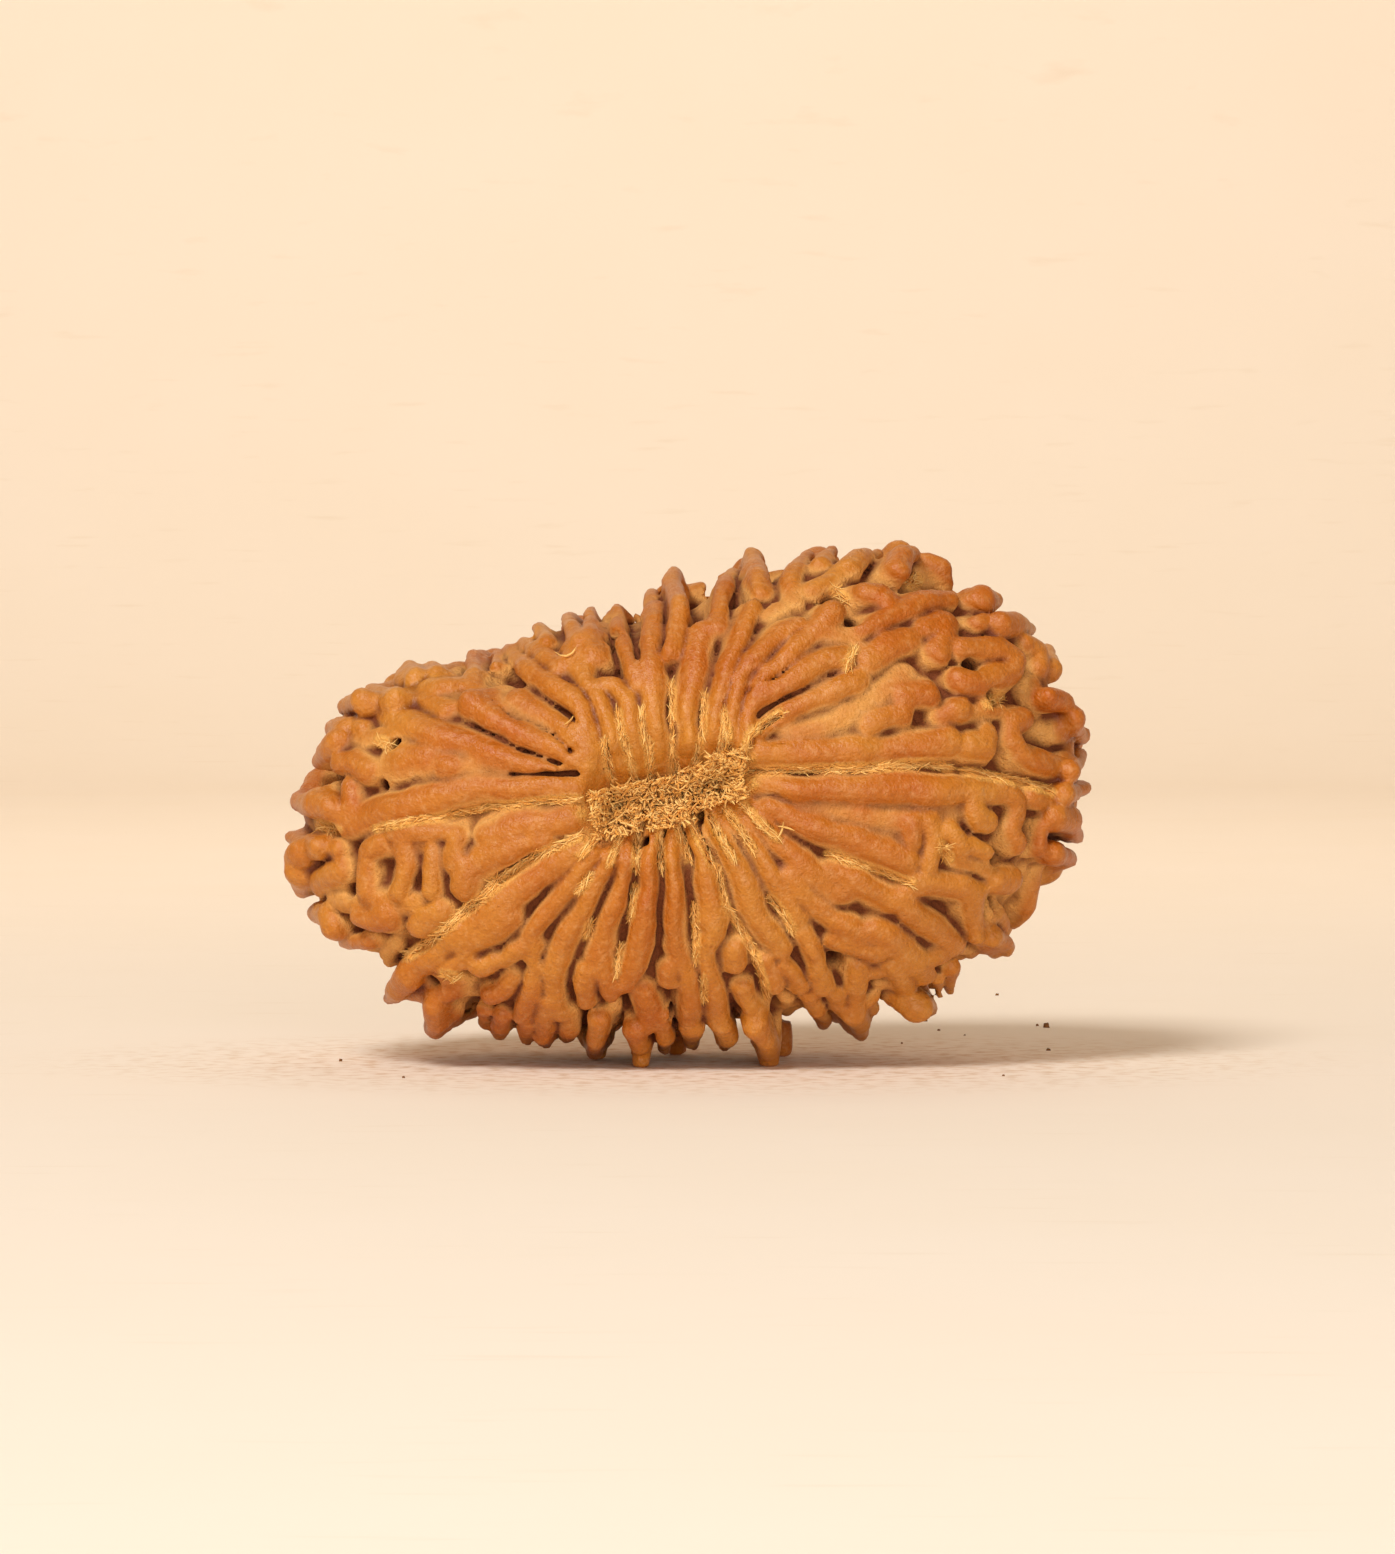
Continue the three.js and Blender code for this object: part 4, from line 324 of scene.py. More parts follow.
# Strips along the grooves, where the wood is cleft and most hold straw. Each has its number of
# strands, its width, how far they turn from its line in degrees, and then x and z along it.
STRIPS = [
    # Across the mouth
    [250, 1.5, 40, -4.2, 11.5, -3.2, 11.7, -2.2, 11.9],
    [230, 1.7, 50, -2.4, 11.8, -1.2, 12.0, 0.0, 12.2],
    [290, 1.8, 40, -0.2, 12.3, 1.0, 12.6, 2.3, 12.9],
    [90, 1.0, 50, -4.0, 10.7, -3.0, 10.9, -2.2, 11.1],
    [100, 1.0, 50, 0.8, 13.4, 1.6, 13.5, 2.4, 13.7],
    [80, 0.9, 50, -1.8, 11.1, -0.8, 11.2, 0.3, 11.4],
    # Creases with no straw between the ridges of the upper left
    [0, 0.2, 0, -4.6, 14.9, -5.2, 15.6, -6.0, 16.2, -7.0, 16.8],
    [0, 0.2, 0, -5.0, 13.95, -5.8, 14.75, -6.8, 15.35, -7.8, 15.75, -8.7, 16.1],
    [0, 0.2, 0, -5.5, 13.45, -6.8, 14.15, -8.0, 14.55, -9.3, 15.0, -10.3, 15.4],
    [0, 0.2, 0, -4.7, 12.95, -6.2, 13.1, -7.6, 13.1],
    # Creases with no straw between the ridges of the upper right
    [0, 0.2, 0, 2.5, 16.6, 3.4, 17.1, 4.4, 17.8, 5.0, 18.4],
    [0, 0.2, 0, 3.0, 15.6, 4.0, 16.4, 5.2, 17.1, 6.3, 17.5],
    [0, 0.2, 0, -2.0, 16.9, -2.0, 17.9, -2.2, 18.6],
    [0, 0.2, 0, -0.5, 17.2, -0.6, 18.0, -0.9, 18.9],
    [0, 0.2, 0, 1.1, 17.4, 1.2, 18.2, 1.3, 18.9],
    # From the mouth upwards
    [36, 0.3, 14, -3.3, 12.8, -3.5, 13.7, -3.6, 14.4],
    [34, 0.25, 14, -2.3, 12.7, -2.5, 13.6, -2.7, 14.5],
    [36, 0.3, 14, -1.6, 12.6, -1.7, 13.4, -1.7, 14.4],
    [30, 0.25, 14, -0.6, 12.7, -0.7, 13.5, -0.75, 14.6],
    [26, 0.25, 14, 0.0, 12.7, 0.3, 13.5, 0.5, 14.5],
    [34, 0.3, 14, 1.1, 13.0, 1.4, 13.9, 1.5, 15.0],
    [34, 0.3, 14, 1.6, 13.3, 1.7, 14.2, 1.6, 15.4],
    [24, 0.25, 14, 2.2, 13.6, 2.4, 14.2, 2.6, 14.8],
    # From the mouth downwards
    [30, 0.3, 14, -3.4, 10.9, -4.0, 10.3, -4.6, 9.6],
    [26, 0.25, 14, -2.7, 10.8, -3.1, 10.0, -3.4, 9.2],
    [30, 0.3, 14, -2.1, 11.2, -2.2, 10.2, -2.3, 9.0],
    [32, 0.25, 14, -1.3, 11.3, -1.25, 10.2, -1.15, 9.0],
    [32, 0.25, 14, -0.8, 11.4, -0.35, 10.4, 0.0, 9.4],
    [34, 0.25, 14, -0.1, 11.4, 0.4, 10.3, 1.0, 9.2],
    [30, 0.25, 14, 0.9, 11.2, 1.4, 10.3, 1.9, 9.4],
    [30, 0.25, 14, 1.6, 11.5, 2.2, 10.7, 2.8, 9.8],
    [22, 0.25, 14, 2.3, 11.8, 3.0, 11.0, 3.8, 10.3],
    # Right groove
    [110, 0.35, 12, 2.6, 13.1, 4.2, 13.25, 5.8, 13.3, 7.4, 13.3],
    [80, 0.4, 16, 7.4, 13.3, 8.8, 13.35, 10.2, 13.5, 11.2, 13.2],
    [40, 0.35, 16, 11.9, 13.1, 13.2, 12.8, 14.6, 12.5, 15.8, 12.1],
    # Left groove
    [60, 0.3, 12, -4.6, 12.0, -6.5, 11.9, -8.9, 11.55],
    [46, 0.3, 14, -8.9, 11.55, -10.4, 11.2, -12.0, 10.95, -13.5, 10.6],
    # Lower left groove
    [60, 0.35, 14, -4.6, 10.4, -6.2, 9.7, -7.6, 8.8],
    [90, 0.45, 18, -7.6, 8.8, -8.6, 7.9, -9.4, 7.3, -10.3, 6.5],
    [50, 0.4, 20, -10.3, 6.5, -11.3, 5.6, -12.2, 5.0],
    # Lower right grooves
    [46, 0.3, 14, 6.0, 9.6, 7.3, 9.15, 8.6, 8.7, 9.6, 8.3],
    [26, 0.3, 16, 3.5, 7.7, 4.1, 7.0, 4.5, 6.3],
    # Grooves under the mouth
    [34, 0.22, 12, 0.25, 7.4, 0.3, 6.2, 0.3, 5.0],
    [14, 0.2, 12, 0.65, 4.2, 0.65, 3.2],
    [26, 0.22, 12, -2.9, 5.6, -3.05, 4.9, -3.1, 4.3],
    [20, 0.22, 12, -2.3, 8.2, -2.4, 7.4, -2.5, 6.8],
    [40, 0.25, 14, 1.25, 9.0, 1.6, 7.4, 2.0, 6.7],
    [50, 0.3, 14, 2.0, 6.7, 2.5, 5.9, 2.9, 5.1, 3.2, 4.2, 3.4, 3.3],
    [16, 0.25, 16, -4.2, 8.7, -4.7, 8.0],
    [12, 0.25, 20, -4.3, 6.6, -4.4, 6.0],
    [16, 0.25, 20, -7.9, 8.6, -8.5, 8.4],
    # Grooves over the mouth
    [26, 0.22, 12, -0.7, 16.9, -0.7, 16.1, -0.7, 15.3],
    [26, 0.22, 12, 0.65, 16.4, 0.65, 15.6, 0.6, 14.8],
    [22, 0.2, 12, 1.5, 15.7, 1.55, 15.0, 1.5, 14.4],
    [24, 0.3, 14, 2.7, 14.8, 3.2, 15.2, 3.9, 15.7],
    [16, 0.2, 12, -2.0, 15.8, -2.0, 15.0, -1.9, 14.3],
    [16, 0.2, 12, -3.0, 15.7, -2.9, 15.0, -2.8, 14.4],
    [12, 0.25, 18, 6.8, 17.6, 7.1, 18.4],
    # Stray fibres on the pits of the knobs
    [12, 0.5, 60, -16.2, 10.7, -15.3, 10.5],
    [10, 0.5, 60, -13.4, 14.4, -12.9, 14.2],
    [10, 0.5, 60, 12.9, 16.0, 13.5, 16.3],
    [10, 0.5, 60, 9.6, 21.1, 10.1, 21.3],
    [8, 0.4, 60, 6.3, 20.9, 6.8, 20.5],
    [10, 0.4, 50, -10.6, 4.3, -10.0, 4.2],
    [8, 0.4, 50, 10.9, 9.9, 11.2, 9.3],
]

# Dark pits in the front mouth: radius, x and z
PITS = [
    [0.28, -3.9, 11.7],
    [0.22, -2.7, 11.1],
    [0.2, 0.1, 11.7],
    [0.28, 0.5, 11.05],
    [0.16, 0.7, 12.6],
    [0.24, -0.2, 13.3],
    [0.26, -1.9, 13.1],
    [0.24, -3.85, 13.0],
    [0.24, 0.9, 13.7],
    [0.24, 1.7, 11.2],
    [0.26, -1.7, 10.1],
    [0.2, -2.6, 13.4],
    [0.18, -1.0, 10.4],
]

VALLEY_DEPTH = 0.3
ROW_GAP = 1.75
KNOB_PITCH = 2.3
KNOB_RADIUS = (0.75, 1.0)
ROW_END = 1.56
ROW_LENGTH_SHARE = 0.8
KNOB_STRAY_ALONG, KNOB_STRAY_SIDEWAYS, KNOB_LEAN = 0.15, 0.06, 0.05
KNOB_SINK = 0.4
NECK_SHARE = 0.8
JOIN_CHANCE, LINK_CHANCE = 0.6, 0.35
BACK_RIDGE_FROM, BACK_RIDGE_TO, BACK_RIDGE_RADIUS, BACK_RIDGE_SHARE = 1.94, 1.5, 1.2, 0.46
GROOVE_RADIUS, GROOVE_DEPTHS, GROOVE_FROM, GROOVE_TO = 0.25, (0.8, 1.3), 1.1, 1.92
HOLLOW_TOP, HOLLOW_DEPTH, HOLLOW_NARROWING = 0.3, 1.6, 0.7
PIT_TOP, PIT_DEPTH, PIT_NARROWING = 0.6, 1.5, 0.5

# Fingers that the stone stands on: x, y and radius
FOOT_TOP, FOOT_SINK, FOOT_WIDE, FOOT_NARROW, FOOT_LEAN = 3.4, 0.18, 1.25, 0.75, 0.95
FEET = [
    [-2.1, -3.4, 0.6],
    [3.5, -2.8, 0.6],
    [-4.1, 1.2, 0.55],
    [-0.6, 3.9, 0.6],
    [4.2, 2.6, 0.6],
]

# A ridge's section: how far below its crest, and how much wider by the mouth and at the rim
RIM_FROM, RIM_OVER = 0.45, 0.35
RIDGE_WALL = [(0, 0, 0), (0.12, 0.16, 0.08), (0.48, 0.55, 0.3), (1.0, 0.9, 0.7)]
FINGER_WALL = [(0, 0, 0), (0.12, 0.14, 0), (0.48, 0.45, 0.05), (1.0, 0.8, 0.15)]
TIP_TAPER, FINGER_ROOT = 0.62, 1.15
# A back ridge's section: how far below its crest, and its share of the full radius
STEEP_WALL = [(0, 1), (0.7, 0.95), (1.4, 0.9)]
BLEND = 0.15
CLEFT_RADIUS, CLEFT_TOP, CLEFT_DEPTH = 0.07, 0.25, 0.6
WIDEST_CLEFT, MOST_CLEFT_TURN = 0.5, 45

drawn = 24


def draw(low, high):
    global drawn
    drawn = drawn * 16807 % 2147483647
    return low + (high - low) * drawn / 2147483647


def mix(a, b, share):
    return a + (b - a) * share


def ease(share):
    t = np.clip(share, 0, 1)
    return t * t * (3 - 2 * t)


def turned_past(angle, first):
    return first + np.mod(angle - first, 360)


def groove_angle(i, way):
    line, rim = LOBES[i % len(LOBES), :2]
    return mix(line, rim, ease(1 - abs(way - 1))) + 360 * (i // len(LOBES))


def angle_in(i, share, way):
    return mix(groove_angle(i, way), groove_angle(i + 1, way), share)


lobe_middles = np.array([angle_in(i, 0.5, 1) for i in range(len(LOBES))])
next_middles = np.append(lobe_middles[1:], lobe_middles[0] + 360)


def reach_at(angle):
    turned = turned_past(angle, lobe_middles[0])
    i = np.searchsorted(lobe_middles, turned, side="right") - 1
    share = ease((turned - lobe_middles[i]) / (next_middles[i] - lobe_middles[i]))
    return mix(LOBES[i, 2], LOBES[(i + 1) % len(LOBES), 2], share)


def place(angle, out, up):
    turn = math.radians(angle)
    along = math.hypot(out, MOUTH_HALF_LENGTH) * math.cos(turn)
    across = out * math.sin(turn)
    return np.array([
        MOUTH_X + along * math.cos(MOUTH_TILT) - across * math.sin(MOUTH_TILT),
        -up,
        MOUTH_Z + along * math.sin(MOUTH_TILT) + across * math.cos(MOUTH_TILT),
    ])


def seen_at(x, z):
    along = (x - MOUTH_X) * math.cos(MOUTH_TILT) + (z - MOUTH_Z) * math.sin(MOUTH_TILT)
    across = (z - MOUTH_Z) * math.cos(MOUTH_TILT) - (x - MOUTH_X) * math.sin(MOUTH_TILT)
    half = (along**2 + across**2 - MOUTH_HALF_LENGTH**2) / 2
    out = np.sqrt(half + np.hypot(half, across * MOUTH_HALF_LENGTH))
    turn = np.arctan2(across / np.maximum(out, 1e-6), along / np.hypot(out, MOUTH_HALF_LENGTH))
    return np.degrees(turn), out


def dimple_at(out):
    return DIMPLE_DEPTH * (1 - ease((out - DIMPLE_FROM) / (DIMPLE_TO - DIMPLE_FROM)))


def sunk(angle, out, up, reach, depth):
    outward = min(1, out / reach) ** (SQUARENESS - 1) / reach
    upward = (abs(up) / HALF_THICKNESS) ** (SQUARENESS - 1) / HALF_THICKNESS
    length = math.hypot(outward, upward)
    lower = up - math.copysign(depth * upward / length, up)
    return place(angle, max(0, out - depth * outward / length), lower)


def on_front(x, z, depth, more, tip_out=None):
    angle, out = seen_at(x, z)
    reach = reach_at(angle) - depth if tip_out is None else tip_out
    flatness = (1 - min(1, out / reach) ** SQUARENESS) ** (1 / SQUARENESS)
    up = max(0.001, (HALF_THICKNESS - depth - dimple_at(out)) * flatness)
    return sunk(angle, out, up, reach, more)


def on_shell(angle, way, depth, reach=None):
    reach = reach_at(angle) if reach is None else reach
    quarter = way * math.pi / 2
    out = reach * math.sin(quarter) ** (2 / SQUARENESS)
    rise = HALF_THICKNESS * abs(math.cos(quarter)) ** (2 / SQUARENESS) - dimple_at(out)
    return sunk(angle, out, rise if way < 1 else -rise, reach, depth)


def row_width(i, rows, way):
    reach = reach_at(angle_in(i, 0.5, way))
    out = reach * math.sin(way * math.pi / 2) ** (2 / SQUARENESS)
    spread = groove_angle(i + 1, way) - groove_angle(i, way)
    return math.radians(spread) * math.hypot(out, MOUTH_HALF_LENGTH) / rows


swellings = []
cuts = []


def chain(points, radii, share=1):
    radii = [radius * share for radius in radii]
    return list(zip(points, points[1:], radii, radii[1:]))


def add_front_ridge(points, radii, drop, wall, tip_out=None):
    angle, out = seen_at(*points.T)
    at_rim = ease((out / reach_at(angle) - RIM_FROM) / RIM_OVER)
    cones = []
    for lower, more_by_mouth, more_at_rim in wall:
        wider = radii + mix(more_by_mouth, more_at_rim, at_rim)
        more = lower + wider - radii
        middles = [
            on_front(x, z, radius + drop, deeper, tip_out)
            for (x, z), radius, deeper in zip(points, radii, more)
        ]
        cones += chain(middles, wider)
    swellings.append(cones)


def add_ridge(row, drop):
    points = np.array(row[2:]).reshape(-1, 2)
    add_front_ridge(points, np.linspace(row[0], row[1], len(points)), drop, RIDGE_WALL)


def add_finger(row):
    """A finger that narrows to its tip and ends where its row says."""
    points = np.array(row[2:]).reshape(-1, 2)
    radii = np.linspace(row[0], row[1], len(points))
    radii[0] *= FINGER_ROOT
    course = points[-1] - points[-2]
    points[-1] += course / np.linalg.norm(course) * radii[-1] * (1 - TIP_TAPER)
    radii[-1] *= TIP_TAPER
    add_front_ridge(points, radii, 0, FINGER_WALL, seen_at(*points[-1])[1])


def add_knob_row(row):
    tip_angle, tip_out = seen_at(*row[-2:])
    angle = turned_past(tip_angle, LOBES[0, 1])
    i = np.searchsorted(LOBES[:, 1], angle, side="right") - 1
    share = (angle - LOBES[i, 1]) / (groove_angle(i + 1, 1) - LOBES[i, 1])
    length_per_way = (tip_out + HALF_THICKNESS) * ROW_LENGTH_SHARE
    steps = math.floor((ROW_END - 1) * length_per_way / KNOB_PITCH)
    tip = place(tip_angle, tip_out, 0)
    knobs = [(tip, row[1])]
    for s in range(1, steps + 1):
        stray = draw(-KNOB_STRAY_ALONG, KNOB_STRAY_ALONG)
        way = 1 + (s + stray) * KNOB_PITCH / length_per_way
        reach = mix(tip_out + row[1], reach_at(angle), s / steps)
        radius = draw(*KNOB_RADIUS)
        sideways = share + draw(-KNOB_STRAY_SIDEWAYS, KNOB_STRAY_SIDEWAYS)
        lean = sideways + draw(-KNOB_LEAN, KNOB_LEAN)
        foot = on_shell(angle_in(i, sideways, way), way, DEPTH_AT_RIM, reach)
        top = on_shell(angle_in(i, lean, way), way, radius + draw(0, KNOB_SINK), reach)
        swellings.append([(foot, top, radius * 0.95, radius)])
        knobs.append((mix(foot, top, 0.6), radius))
    for s, (before, knob) in enumerate(zip(knobs, knobs[1:])):
        if s == 0 or draw(0, 1) < JOIN_CHANCE:
            neck = (before[1] * NECK_SHARE, knob[1] * NECK_SHARE)
            swellings.append([(before[0], knob[0], *neck)])
    return knobs[1:]


def link_rows(row, others):
    for middle, radius in row:
        if draw(0, 1) > LINK_CHANCE:
            continue
        near = min(others, key=lambda other: np.linalg.norm(other[0] - middle))
        swellings.append([(middle, near[0], radius * NECK_SHARE, near[1] * NECK_SHARE)])


def add_back_ridge(i, share, count):
    ways = np.linspace(BACK_RIDGE_FROM, BACK_RIDGE_TO, 8)
    radii = [
        min(BACK_RIDGE_RADIUS, BACK_RIDGE_SHARE * row_width(i, count, way)) for way in ways
    ]
    cones = []
    for more, narrowing in STEEP_WALL:
        middles = [
            on_shell(angle_in(i, share, way), way, radius + more)
            for way, radius in zip(ways, radii)
        ]
        cones += chain(middles, radii, narrowing)
    swellings.append(cones)


def add_groove(i):
    for depth in GROOVE_DEPTHS:
        ways = np.linspace(GROOVE_FROM, GROOVE_TO, 31)
        line = [on_shell(groove_angle(i, way), way, depth) for way in ways]
        cuts.extend([cone] for cone in chain(line, [GROOVE_RADIUS] * len(line)))


for valley in VALLEYS:
    add_ridge(valley, VALLEY_DEPTH)
for ridge in RIDGES:
    add_ridge(ridge, 0)
for finger in FINGERS:
    add_finger(finger)
rows = []
row_tip = None
for finger in FINGERS:
    if row_tip is None or math.dist(finger[-2:], row_tip) >= ROW_GAP:
        rows.append(add_knob_row(finger))
        row_tip = finger[-2:]
for row, others in zip(rows, rows[1:] + rows[:1]):
    if others:
        link_rows(row, others)
for i, lobe in enumerate(LOBES):
    ridge_count = int(lobe[3])
    for ridge in range(ridge_count):
        add_back_ridge(i, (ridge + 0.5) / ridge_count, ridge_count)
    add_groove(i)
for radius, x, z in HOLLOWS:
    begin = on_front(x, z, HOLLOW_TOP, 0)
    end = on_front(x, z, HOLLOW_TOP, HOLLOW_DEPTH)
    cuts.append([(begin, end, radius, radius * HOLLOW_NARROWING)])
for radius, x, z in PITS:
    begin = on_front(x, z, PIT_TOP, 0)
    end = on_front(x, z, PIT_TOP, PIT_DEPTH)
    cuts.append([(begin, end, radius, radius * PIT_NARROWING)])
for count, width, turn, *line in STRIPS:
    if width > WIDEST_CLEFT or turn > MOST_CLEFT_TURN:
        continue
    for depth in (0, CLEFT_DEPTH / 2, CLEFT_DEPTH):
        points = [on_front(x, z, CLEFT_TOP, depth) for x, z in zip(line[::2], line[1::2])]
        cuts.append(chain(points, [CLEFT_RADIUS] * len(points)))
for x, y, radius in FEET:
    low_end = np.array([x, y, radius * FOOT_NARROW - FOOT_SINK])
    high_end = np.array([x * FOOT_LEAN, y * FOOT_LEAN, FOOT_TOP])
    swellings.append([(high_end, low_end, radius * FOOT_WIDE, radius * FOOT_NARROW)])

# The field is below 0 inside the stone, on a grid with a step as wide as the narrowest cleft.
CELL = 0.15
LOW = np.array([-19.2, -11.0, -1.2])
HIGH = np.array([19.2, 11.0, 24.2])
counts = np.ceil((HIGH - LOW) / CELL).astype(int) + 1
axes = [LOW[a] + CELL * np.arange(counts[a], dtype=np.float32) for a in range(3)]
noise_source = np.random.default_rng(24)


def noise(step):
    """Smooth random values from -1 to 1 on the grid, step millimetres from one to the next."""
    lattice = noise_source.uniform(-1, 1, [int(n * CELL / step) + 3 for n in counts])
    out = lattice.astype(np.float32)
    for a in range(3):
        at = (axes[a] - LOW[a]) / step
        whole = at.astype(int)
        shape = [1, 1, 1]
        shape[a] = -1
        share = ease(at - whole).reshape(shape)
        out = mix(np.take(out, whole, axis=a), np.take(out, whole + 1, axis=a), share)
    return out


def shell_share(x, y, z, depth_on_face, depth_at_rim):
    angle, out = seen_at(x, z)
    reach = reach_at(angle) - depth_at_rim
    thickness = HALF_THICKNESS - depth_on_face - dimple_at(out)
    share = (out / reach) ** SQUARENESS + (np.abs(y) / thickness) ** SQUARENESS
    share = np.maximum(0.05, share ** (1 / SQUARENESS))
    return (share - 1) * np.hypot(out, y) / share


grid_x, grid_z = np.meshgrid(axes[0], axes[2], indexing="ij")
grid_angle, grid_out = seen_at(grid_x, grid_z)
BODY_RIM_FROM, BODY_RIM_OVER = 0.5, 0.3
rim_share = ease((grid_out / reach_at(grid_angle) - BODY_RIM_FROM) / BODY_RIM_OVER)[:, None, :]
field = shell_share(
    grid_x[:, None, :], axes[1][None, :, None], grid_z[:, None, :],
    mix(DEPTH_BY_MOUTH, DEPTH_ON_FACE, rim_share), DEPTH_AT_RIM,
).astype(np.float32)

# The low ground is rough over about a millimetre, and most of all in the front mouth.
MOUTH_CORE, MOUTH_EDGE = 1.6, 1.4
field += 0.1 * noise(0.55) + 0.14 * noise(1.3)
mouth_share = 1 - ease((grid_out - MOUTH_CORE) / MOUTH_EDGE)
front_only = (axes[1] < 0)[None, :, None]
field += 0.3 * (mouth_share[:, None, :] * front_only) * noise(0.42)

# Growth is never straight: every swelling sways and swells a little, over 1 to 3 millimetres.
sway = [0.1 * noise(1.2) + 0.16 * noise(3.1) for _ in range(3)]
bulge = 0.09 * noise(0.95) + 0.07 * noise(2.4)


def work(cones, sign):
    """Joins a list of rounded cones to the field, or cuts it out."""
    ends = np.array([cone[0] for cone in cones] + [cone[1] for cone in cones])
    widest = max(max(cone[2:]) for cone in cones) + BLEND + CELL
    start = np.maximum(0, np.floor((ends.min(axis=0) - widest - LOW) / CELL)).astype(int)
    stop = np.minimum(counts, np.ceil((ends.max(axis=0) + widest - LOW) / CELL).astype(int) + 1)
    block = tuple(slice(a, b) for a, b in zip(start, stop))
    points = np.stack(np.meshgrid(*[ax[b] for ax, b in zip(axes, block)], indexing="ij"), axis=-1)
    points = points + np.stack([shift[block] for shift in sway], axis=-1)
    distance = np.full(points.shape[:3], np.inf, dtype=np.float32)
    for begin, end, begin_radius, end_radius in cones:
        course = (end - begin).astype(np.float32)
        gap = points - begin.astype(np.float32)
        share = np.clip(gap @ course / max(1e-9, float(course @ course)), 0, 1)
        reach = np.linalg.norm(gap - share[..., None] * course, axis=-1)
        np.minimum(distance, reach - mix(begin_radius, end_radius, share), out=distance)
    here = sign * field[block]
    overlap = np.maximum(0, BLEND - np.abs(here - distance)) / BLEND
    field[block] = sign * (np.minimum(here, distance) - overlap**2 * BLEND / 4)


for cones in swellings:
    work(cones, 1)
for cones in cuts:
    work(cones, -1)
field += bulge + 0.025 * noise(0.5)
np.maximum(field, -axes[2][None, None, :], out=field)

# A vertex in each cell that the surface crosses, and a quad round each grid edge that crosses it
inside = field < 0
corner_sum = sum(
    inside[i:counts[0] - 1 + i, j:counts[1] - 1 + j, k:counts[2] - 1 + k].astype(np.int8)
    for i in (0, 1) for j in (0, 1) for k in (0, 1)
)
cells = np.argwhere((corner_sum > 0) & (corner_sum < 8))
number = np.full(counts - 1, -1, dtype=np.int32)
number[tuple(cells.T)] = np.arange(len(cells))
total = np.zeros((len(cells), 3))
crossings = np.zeros(len(cells))
for axis in range(3):
    first, second = [a for a in range(3) if a != axis]
    for bits in range(4):
        offset = np.zeros(3, dtype=int)
        offset[first], offset[second] = bits & 1, bits >> 1
        start = cells + offset
        end = start.copy()
        end[:, axis] += 1
        from_value, to_value = field[tuple(start.T)], field[tuple(end.T)]
        crossed = (from_value < 0) != (to_value < 0)
        gap = np.where(crossed, from_value - to_value, 1)
        share = np.where(crossed, from_value / gap, 0)
        at = start.astype(float)
        at[:, axis] += share
        total += at * crossed[:, None]
        crossings += crossed
stone_points = LOW + CELL * total / crossings[:, None]
quads = []
for axis in range(3):
    first, second = (axis + 1) % 3, (axis + 2) % 3
    steps = [slice(1, -1)] * 3
    steps[axis] = slice(None, -1)
    ahead = list(steps)
    ahead[axis] = slice(1, None)
    here, there = inside[tuple(steps)], inside[tuple(ahead)]
    for leaving in (True, False):
        edges = np.argwhere(here & ~there if leaving else ~here & there)
        edges += [0 if a == axis else 1 for a in range(3)]
        ring = []
        for back_first, back_second in ((1, 1), (0, 1), (0, 0), (1, 0)):
            cell_at = edges.copy()
            cell_at[:, first] -= back_first
            cell_at[:, second] -= back_second
            ring.append(number[tuple(cell_at.T)])
        quads.append(np.stack(ring if leaving else ring[::-1], axis=1))
quads = np.concatenate(quads)

# Any loose crumb is dropped, so that one closed surface is left.
label = np.arange(len(stone_points))
while True:
    before = label.copy()
    lowest = label[quads].min(axis=1)
    for corner in range(4):
        np.minimum.at(label, quads[:, corner], lowest)
    label = label[label]
    if (label == before).all():
        break
main_label = np.bincount(label).argmax()
quads = quads[label[quads[:, 0]] == main_label]
used = np.unique(quads)
renumbered = np.zeros(len(stone_points), dtype=int)
renumbered[used] = np.arange(len(used))
quads = renumbered[quads]
stone_points = stone_points[used]
centre = (stone_points.min(axis=0) + stone_points.max(axis=0)) / 2
centre[2] = 0


def sample(values, points):
    """Values of a grid at points, by the eight grid points round each."""
    at = np.clip((points - LOW) / CELL, 0, counts - 1.001)
    whole = at.astype(int)
    share = at - whole
    out = 0
    for bits in range(8):
        step = np.array([bits & 1, bits >> 1 & 1, bits >> 2])
        weight = np.prod(np.where(step, share, 1 - share), axis=1)
        out = out + weight * values[tuple((whole + step).T)]
    return out


def blurred(values, radius):
    """Two passes of a box of that radius in millimetres, along each axis."""
    reach = max(1, round(radius / CELL))
    for axis in (0, 1, 2, 0, 1, 2):
        ends = [(0, 0)] * 3
        ends[axis] = (reach + 1, reach)
        run = np.cumsum(np.pad(values, ends), axis=axis, dtype=np.float32)
        size = values.shape[axis]
        far = np.take(run, np.arange(2 * reach + 1, 2 * reach + 1 + size), axis=axis)
        values = (far - np.take(run, np.arange(size), axis=axis)) / (2 * reach + 1)
    return values


# Numbers that the wood's material reads: how enclosed the surface is, near and in a wider
# round, how deep under the crests it lies, and its place along and round the lobes
filled = np.clip(0.5 - field / CELL, 0, 1).astype(np.float32)
stone_values = {
    "crevice": 2 * sample(blurred(filled, 0.3), stone_points) - 1,
    "hollow": 2 * sample(blurred(filled, 1.0), stone_points) - 1,
    "depth": -shell_share(*stone_points.T, 0, 0),
}


